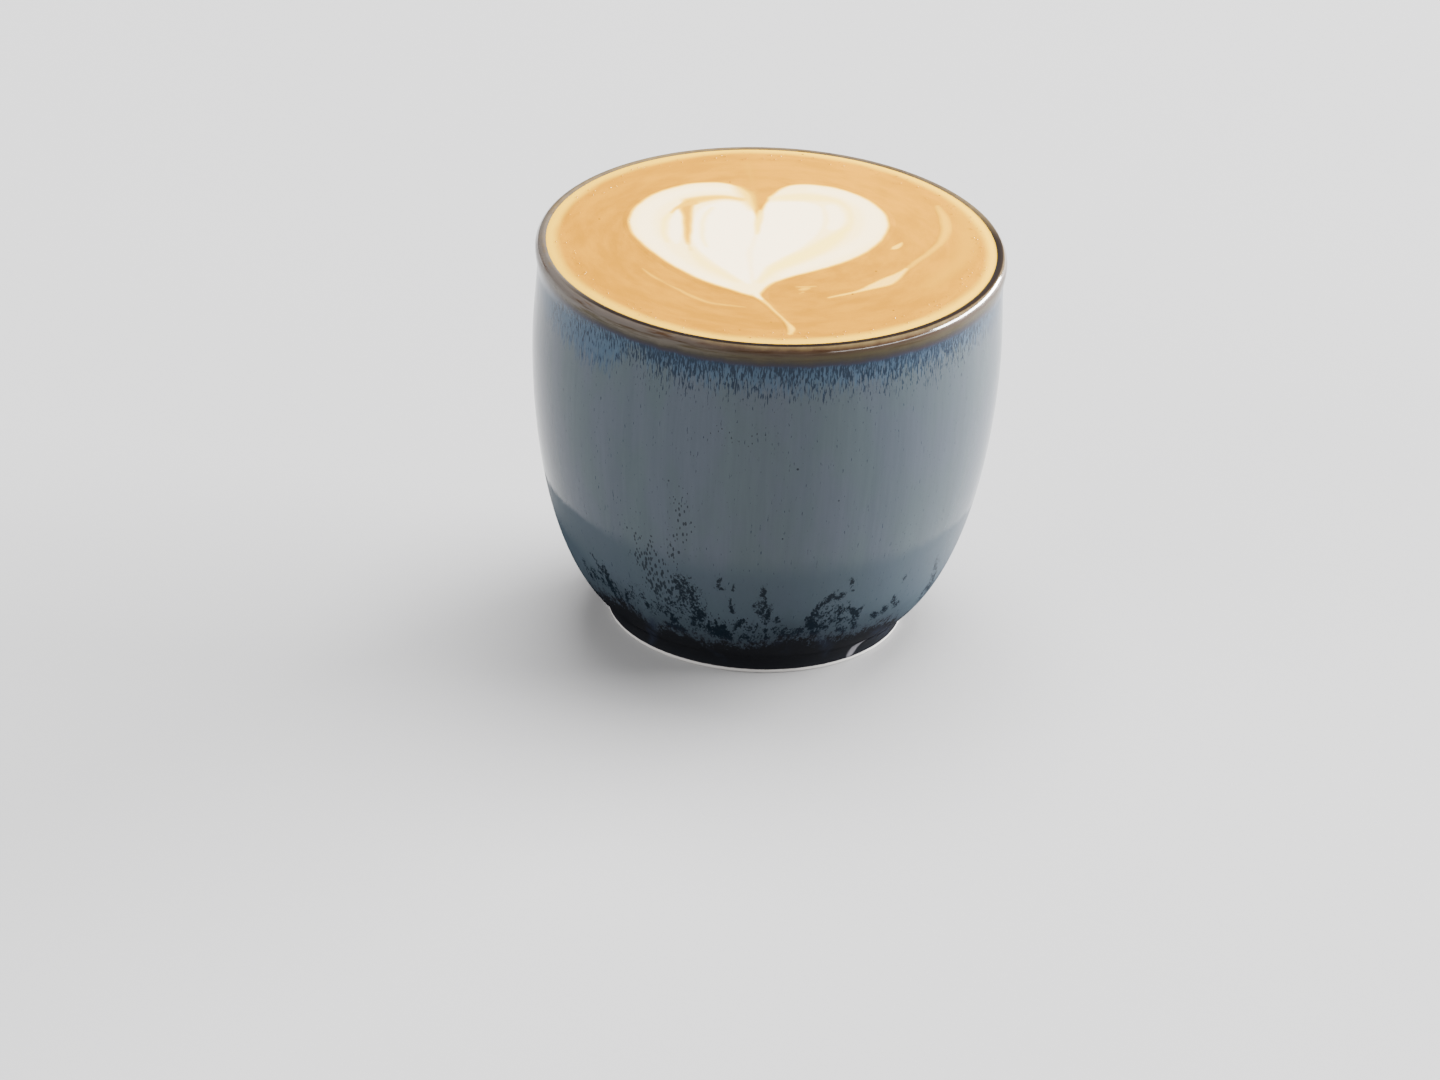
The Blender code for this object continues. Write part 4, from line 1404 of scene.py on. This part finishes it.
@dataclass
class Drink:
    """The coffee up to the brim, in millimetres."""

    level: float = 61.96
    contact_radius: float = 34.56
    contact_height: float = 61.80
    bulge: float = 2.4
    steps_around: int = 480
    rings: int = 100

    def surface(self, radius: np.ndarray) -> np.ndarray:
        """The height of the drink's surface at a radius: flat, and curved down to the rim."""
        share = np.clip((self.contact_radius - radius) / self.bulge, 0.0, 1.0)
        return self.contact_height + (self.level - self.contact_height) * (1 - (1 - share) ** 2.6)

    def build(self, cup: Cup, art: PouredArt, finish: bpy.types.Material) -> bpy.types.Object:
        """Makes the drink inside a cup.

        Args:
            cup: The cup that it fills.
            art: The picture poured on it.
            finish: The material of the drink.

        Returns:
            The drink.
        """
        middle = np.linspace(0.0, 1.0, self.rings) ** 0.85 * (self.contact_radius - 1.6)
        edge = self.contact_radius - 1.6 * np.linspace(1.0, 0.0, 11)[1:]
        radii = np.concatenate((middle[1:], edge))
        top = np.stack((radii, self.surface(radii)), axis=1)
        inside = cup.belly_radius - cup.wall + 0.25
        heights = np.array([61.2, 60.2, 57.0, 50.0, 46.5, 38.0, 28.0, 20.0, 14.0, 9.5, 7.2])
        wall = np.where(
            heights >= cup.belly_height,
            inside + (heights - cup.belly_height) / 14.0 * 1.1,
            cup.side(heights, inside, cup.belly_height - cup.floor + 0.1),
        )
        rows = np.vstack((top, np.stack((wall, heights), axis=1)))
        turns = np.linspace(0.0, 2 * math.pi, self.steps_around, endpoint=False)
        loops = [
            np.stack((r * np.cos(turns), r * np.sin(turns), np.full(len(turns), z)), axis=1) for r, z in rows
        ]
        points = np.vstack([[[0.0, 0.0, self.level]], *loops, [[0.0, 0.0, heights[-1]]]])
        n, last = self.steps_around, len(points) - 1
        faces = [(0, 1 + k, 1 + (k + 1) % n) for k in range(n)]
        for row in range(len(rows) - 1):
            a, b = 1 + row * n, 1 + (row + 1) * n
            faces += [(a + k, b + k, b + (k + 1) % n, a + (k + 1) % n) for k in range(n)]
        base = 1 + (len(rows) - 1) * n
        faces += [(last, base + (k + 1) % n, base + k) for k in range(n)]
        mesh = mesh_from("crema_drink", points, faces)
        art.paint(mesh)
        mesh.materials.append(finish)
        return new_object("crema_drink", mesh)


@dataclass
class PouredFoam:
    """A patch of milk foam on the drink, in millimetres, that stands slightly above it."""

    name: str
    outline: tuple[Knot, ...]
    spacing: float = 0.27
    rise: float = 0.075
    sunk: float = 0.03
    taper: float = 1.5
    thick: float = 0.7

    def build(self, drink: Drink, art: PouredArt, finish: bpy.types.Material) -> bpy.types.Object:
        """Makes the patch on a drink.

        Args:
            drink: The drink that it lies on.
            art: The picture poured on it.
            finish: The material of the patch.

        Returns:
            The patch.
        """
        edge = line_through(self.outline, Ends.CLOSED, 14)
        low, high = edge.min(axis=0), edge.max(axis=0)
        xs = np.arange(low[0], high[0], self.spacing)
        ys = np.arange(low[1], high[1], self.spacing * math.sqrt(0.75))
        grid_x, grid_y = np.meshgrid(xs, ys)
        grid_x[1::2] += self.spacing / 2
        grid = np.stack((grid_x.ravel(), grid_y.ravel()), axis=1)
        grid = grid[depth_inside(grid, edge) > self.spacing * 0.6]
        flat = np.vstack((edge, grid))
        ring = [(i, (i + 1) % len(edge)) for i in range(len(edge))]
        vectors = [Vector(point) for point in flat.tolist()]
        solved = delaunay_2d_cdt(vectors, ring, [], 1, 1e-5)
        places = np.array([tuple(point) for point in solved[0]])
        faces = [tuple(face) for face in solved[2]]
        depth = np.maximum(depth_inside(places, edge), 0.0)
        lift = -self.sunk + self.rise * eased(depth / self.taper)
        base = drink.surface(np.hypot(places[:, 0], places[:, 1]))
        upper = np.column_stack((places, base + lift))
        lower = np.column_stack((places, base - self.thick))
        count = len(places)
        closed = list(faces) + [tuple(count + i for i in reversed(face)) for face in faces]
        used: dict[tuple[int, int], int] = {}
        for face in faces:
            for a, b in zip(face, face[1:] + face[:1]):
                used[(a, b)] = used.get((a, b), 0) + 1
        closed += [(b, a, count + a, count + b) for a, b in used if (b, a) not in used]
        mesh = mesh_from(self.name, np.vstack((upper, lower)), closed)
        art.paint(mesh)
        mesh.materials.append(finish)
        piece = new_object(self.name, mesh)
        faces_out(mesh)
        mesh.shade_smooth()
        return piece


HEART_PATCH = (
    (-9.0, 23.0), (-15.6, 20.8), (-19.8, 17.0), (-22.6, 12.0), (-23.6, 7.0), (-22.9, 1.6), (-20.6, -4.0),
    (-17.6, -8.8), (-14.2, -13.0), (-10.0, -16.3), (-5.4, -18.6), (-3.0, -20.0), (-1.5, -21.9),
    (0.1, -24.9),
    (1.5, -27.6), (2.0, -29.4), (2.4, -30.9), (3.5, -31.4), (4.8, -30.6), (4.9, -28.6), (4.2, -26.6),
    (2.8, -23.9),
    (1.3, -21.0), (0.6, -18.6), (0.8, -15.8), (3.2, -13.1), (8.4, -9.6), (13.6, -4.6), (17.4, 0.8),
    (19.2, 6.4),
    (19.3, 11.0), (17.4, 16.0), (13.6, 20.4), (8.6, 23.4), (3.4, 23.3), (-0.6, 21.0), (-3.0, 20.2),
    (-5.4, 21.6),
)

SWIRL_PATCH = (
    (25.0, 18.0), (24.1, 15.0), (24.6, 11.0), (24.6, 6.6), (23.4, 2.2), (20.8, -2.6), (18.2, -7.0),
    (15.6, -10.6),
    (12.2, -14.0), (8.6, -16.6), (7.2, -18.2), (8.6, -19.4), (12.2, -18.2), (16.4, -15.6), (20.4, -11.6),
    (23.0, -6.8), (25.8, -1.4), (27.8, 4.0), (28.2, 9.6), (27.4, 14.6), (26.2, 17.9),
)


@dataclass
class FineBubbles:
    """Small bubbles on the crema, in millimetres, thickest along its edge."""

    inside: float = 30.2
    outside: float = 33.2
    least: float = 0.05
    most: float = 0.16
    thickness: float = 0.35
    seed: int = 11

    def build(self, drink: Drink, finish: bpy.types.Material) -> bpy.types.Object:
        """Scatters the bubbles on a drink.

        Args:
            drink: The drink that they float on.
            finish: The material of the bubbles.

        Returns:
            The bubbles, as one piece.
        """
        turns = np.linspace(0.0, 2 * math.pi, 120, endpoint=False)
        radii = np.array([self.inside, (self.inside + self.outside) / 2, self.outside])
        points = np.vstack(
            [np.stack((r * np.cos(turns), r * np.sin(turns), np.full(120, drink.surface(r))), axis=1) for r in radii]
        )
        faces = [
            (row * 120 + k, row * 120 + (k + 1) % 120, (row + 1) * 120 + (k + 1) % 120, (row + 1) * 120 + k)
            for row in range(2)
            for k in range(120)
        ]
        start = mesh_from("bubble_ring", points, faces)
        values = {
            "Density": self.thickness * 1e6,
            "Least": self.least * MM,
            "Most": self.most * MM,
            "Seed": self.seed,
            "Film": finish,
        }
        return self._scatter().bake(start, "fine_bubbles", values)

    @staticmethod
    def _scatter() -> NodeTree:
        """The tree that sets small flattened balls on a surface.

        Returns:
            The tree.
        """
        tree = NodeTree("fine_bubbles")
        tree.ask("Density", "NodeSocketFloat", 300000.0)
        tree.ask("Least", "NodeSocketFloat", 0.00005)
        tree.ask("Most", "NodeSocketFloat", 0.0002)
        tree.ask("Seed", "NodeSocketInt", 11)
        tree.ask("Film", "NodeSocketMaterial")
        spots = tree.node(
            "GeometryNodeDistributePointsOnFaces",
            {},
            {"Mesh": tree.given("Geometry"), "Density": tree.given("Density"), "Seed": tree.given("Seed")},
        )
        ball = tree.node("GeometryNodeMeshIcoSphere", {}, {"Radius": 1.0, "Subdivisions": 2})
        size = tree.node(
            "FunctionNodeRandomValue",
            {"data_type": "FLOAT"},
            {2: tree.given("Least"), 3: tree.given("Most"), "Seed": tree.given("Seed")},
        )
        set_on = tree.node(
            "GeometryNodeInstanceOnPoints",
            {},
            {"Points": spots.outputs["Points"], "Instance": ball.outputs["Mesh"], "Scale": size.outputs[1]},
        )
        real = tree.node("GeometryNodeRealizeInstances", {}, {0: set_on.outputs[0]})
        smooth = tree.node("GeometryNodeSetShadeSmooth", {}, {0: real.outputs[0]})
        tree.close(smooth.outputs[0], tree.given("Film"))
        return tree


@dataclass
class Studio:
    """The plain floor, the soft lights and the camera."""

    distance: float = 1.44
    elevation: float = 27.58
    roll: float = 2.77
    aside: float = -37.3 / 9269.6
    above: float = 62.6 / 9269.6
    lens: float = 231.74
    floor_half: float = 4.0
    air: float = 0.25
    window_watts: float = 600.0
    strip_watts: float = 45.0
    ceiling_watts: float = 285.0
    side_watts: float = 132.0

    def build(self) -> None:
        """Makes the floor, lights and camera."""
        self._floor()
        self._light("window", (2.03, 0.86, 0.46), (2.4, 0.6), self.window_watts)
        self._light("strip", (1.80, -0.85, 0.20), (2.8, 0.18), self.strip_watts)
        self._light("ceiling", (0.2, 0.9, 2.3), (2.2, 2.0), self.ceiling_watts, mirrored=False)
        self._light("side", (-1.9, -0.85, 0.7), (3.0, 1.4), self.side_watts, mirrored=False)
        self._air()
        self._camera()

    def _floor(self) -> None:
        """A wide plain floor at the cup's foot."""
        half = self.floor_half / MM
        corners = np.array([(-half, -half, 0.0), (half, -half, 0.0), (half, half, 0.0), (-half, half, 0.0)])
        mesh = mesh_from("floor", corners, [(0, 1, 2, 3)])
        mesh.materials.append(PaleFloor().make())
        new_object("floor", mesh)

    @staticmethod
    def _light(name: str, place: Knot, size: tuple[float, float], watts: float, mirrored: bool = True) -> None:
        """A rectangular soft light that looks at the cup.

        Args:
            name: The light's name.
            place: Where it hangs, in metres.
            size: Its width and height, in metres.
            watts: Its strength.
            mirrored: Whether glossy surfaces mirror it.
        """
        lamp = bpy.data.lights.new(name, "AREA")
        lamp.shape = "RECTANGLE"
        lamp.size, lamp.size_y = size
        lamp.energy = watts
        made = bpy.data.objects.new(name, lamp)
        made.visible_glossy = mirrored
        made.location = place
        made.rotation_euler = (Vector((0.0, 0.0, 0.03)) - Vector(place)).to_track_quat("-Z", "Y").to_euler()
        bpy.context.scene.collection.objects.link(made)

    def _air(self) -> None:
        """An even glow from all sides."""
        world = bpy.data.worlds.new("soft_air")
        world.use_nodes = True
        glow = world.node_tree.nodes["Background"]
        glow.inputs["Color"].default_value = (0.93, 0.96, 1.0, 1.0)
        glow.inputs["Strength"].default_value = self.air
        bpy.context.scene.world = world

    def _camera(self) -> None:
        """The camera, from the photo's side."""
        tilt, roll = math.radians(self.elevation), math.radians(self.roll)
        place = Vector((0.0, -self.distance * math.cos(tilt), self.distance * math.sin(tilt)))
        ahead = -place.normalized()
        right = Vector((1.0, 0.0, 0.0))
        up = right.cross(ahead)
        aimed = ahead * math.cos(self.aside) + right * math.sin(self.aside)
        right = right * math.cos(self.aside) - ahead * math.sin(self.aside)
        final = aimed * math.cos(self.above) + up * math.sin(self.above)
        up = up * math.cos(self.above) - aimed * math.sin(self.above)
        level = right * math.cos(roll) + up * math.sin(roll)
        upright = up * math.cos(roll) - right * math.sin(roll)
        lens = bpy.data.cameras.new("camera")
        lens.sensor_width = 36.0
        lens.lens = self.lens
        lens.clip_start, lens.clip_end = 0.05, 30.0
        made = bpy.data.objects.new("camera", lens)
        turned = Matrix((level, upright, -final)).transposed().to_4x4()
        made.matrix_world = Matrix.Translation(place) @ turned
        bpy.context.scene.collection.objects.link(made)
        bpy.context.scene.camera = made


def main() -> None:
    """Builds each piece in order, and the studio round it."""
    cup, drink, art = Cup(), Drink(), PouredArt()
    finish = CremaAndMilk().make()
    standing_for(cup.build(), "reactive_glaze", "cup")
    standing_for(drink.build(cup, art, finish), "crema", "coffee")
    heart = PouredFoam("poured_heart", HEART_PATCH)
    standing_for(heart.build(drink, art, finish), "milk_foam", "milk_heart")
    swirl = PouredFoam("poured_swirl", SWIRL_PATCH, rise=0.06)
    standing_for(swirl.build(drink, art, finish), "milk_foam", "milk_swirl")
    standing_for(FineBubbles().build(drink, BubbleFilm().make()), "crema")
    Studio().build()


if __name__ == "__main__":
    logging.basicConfig(level=logging.INFO, format="%(name)s: %(message)s")
    main()
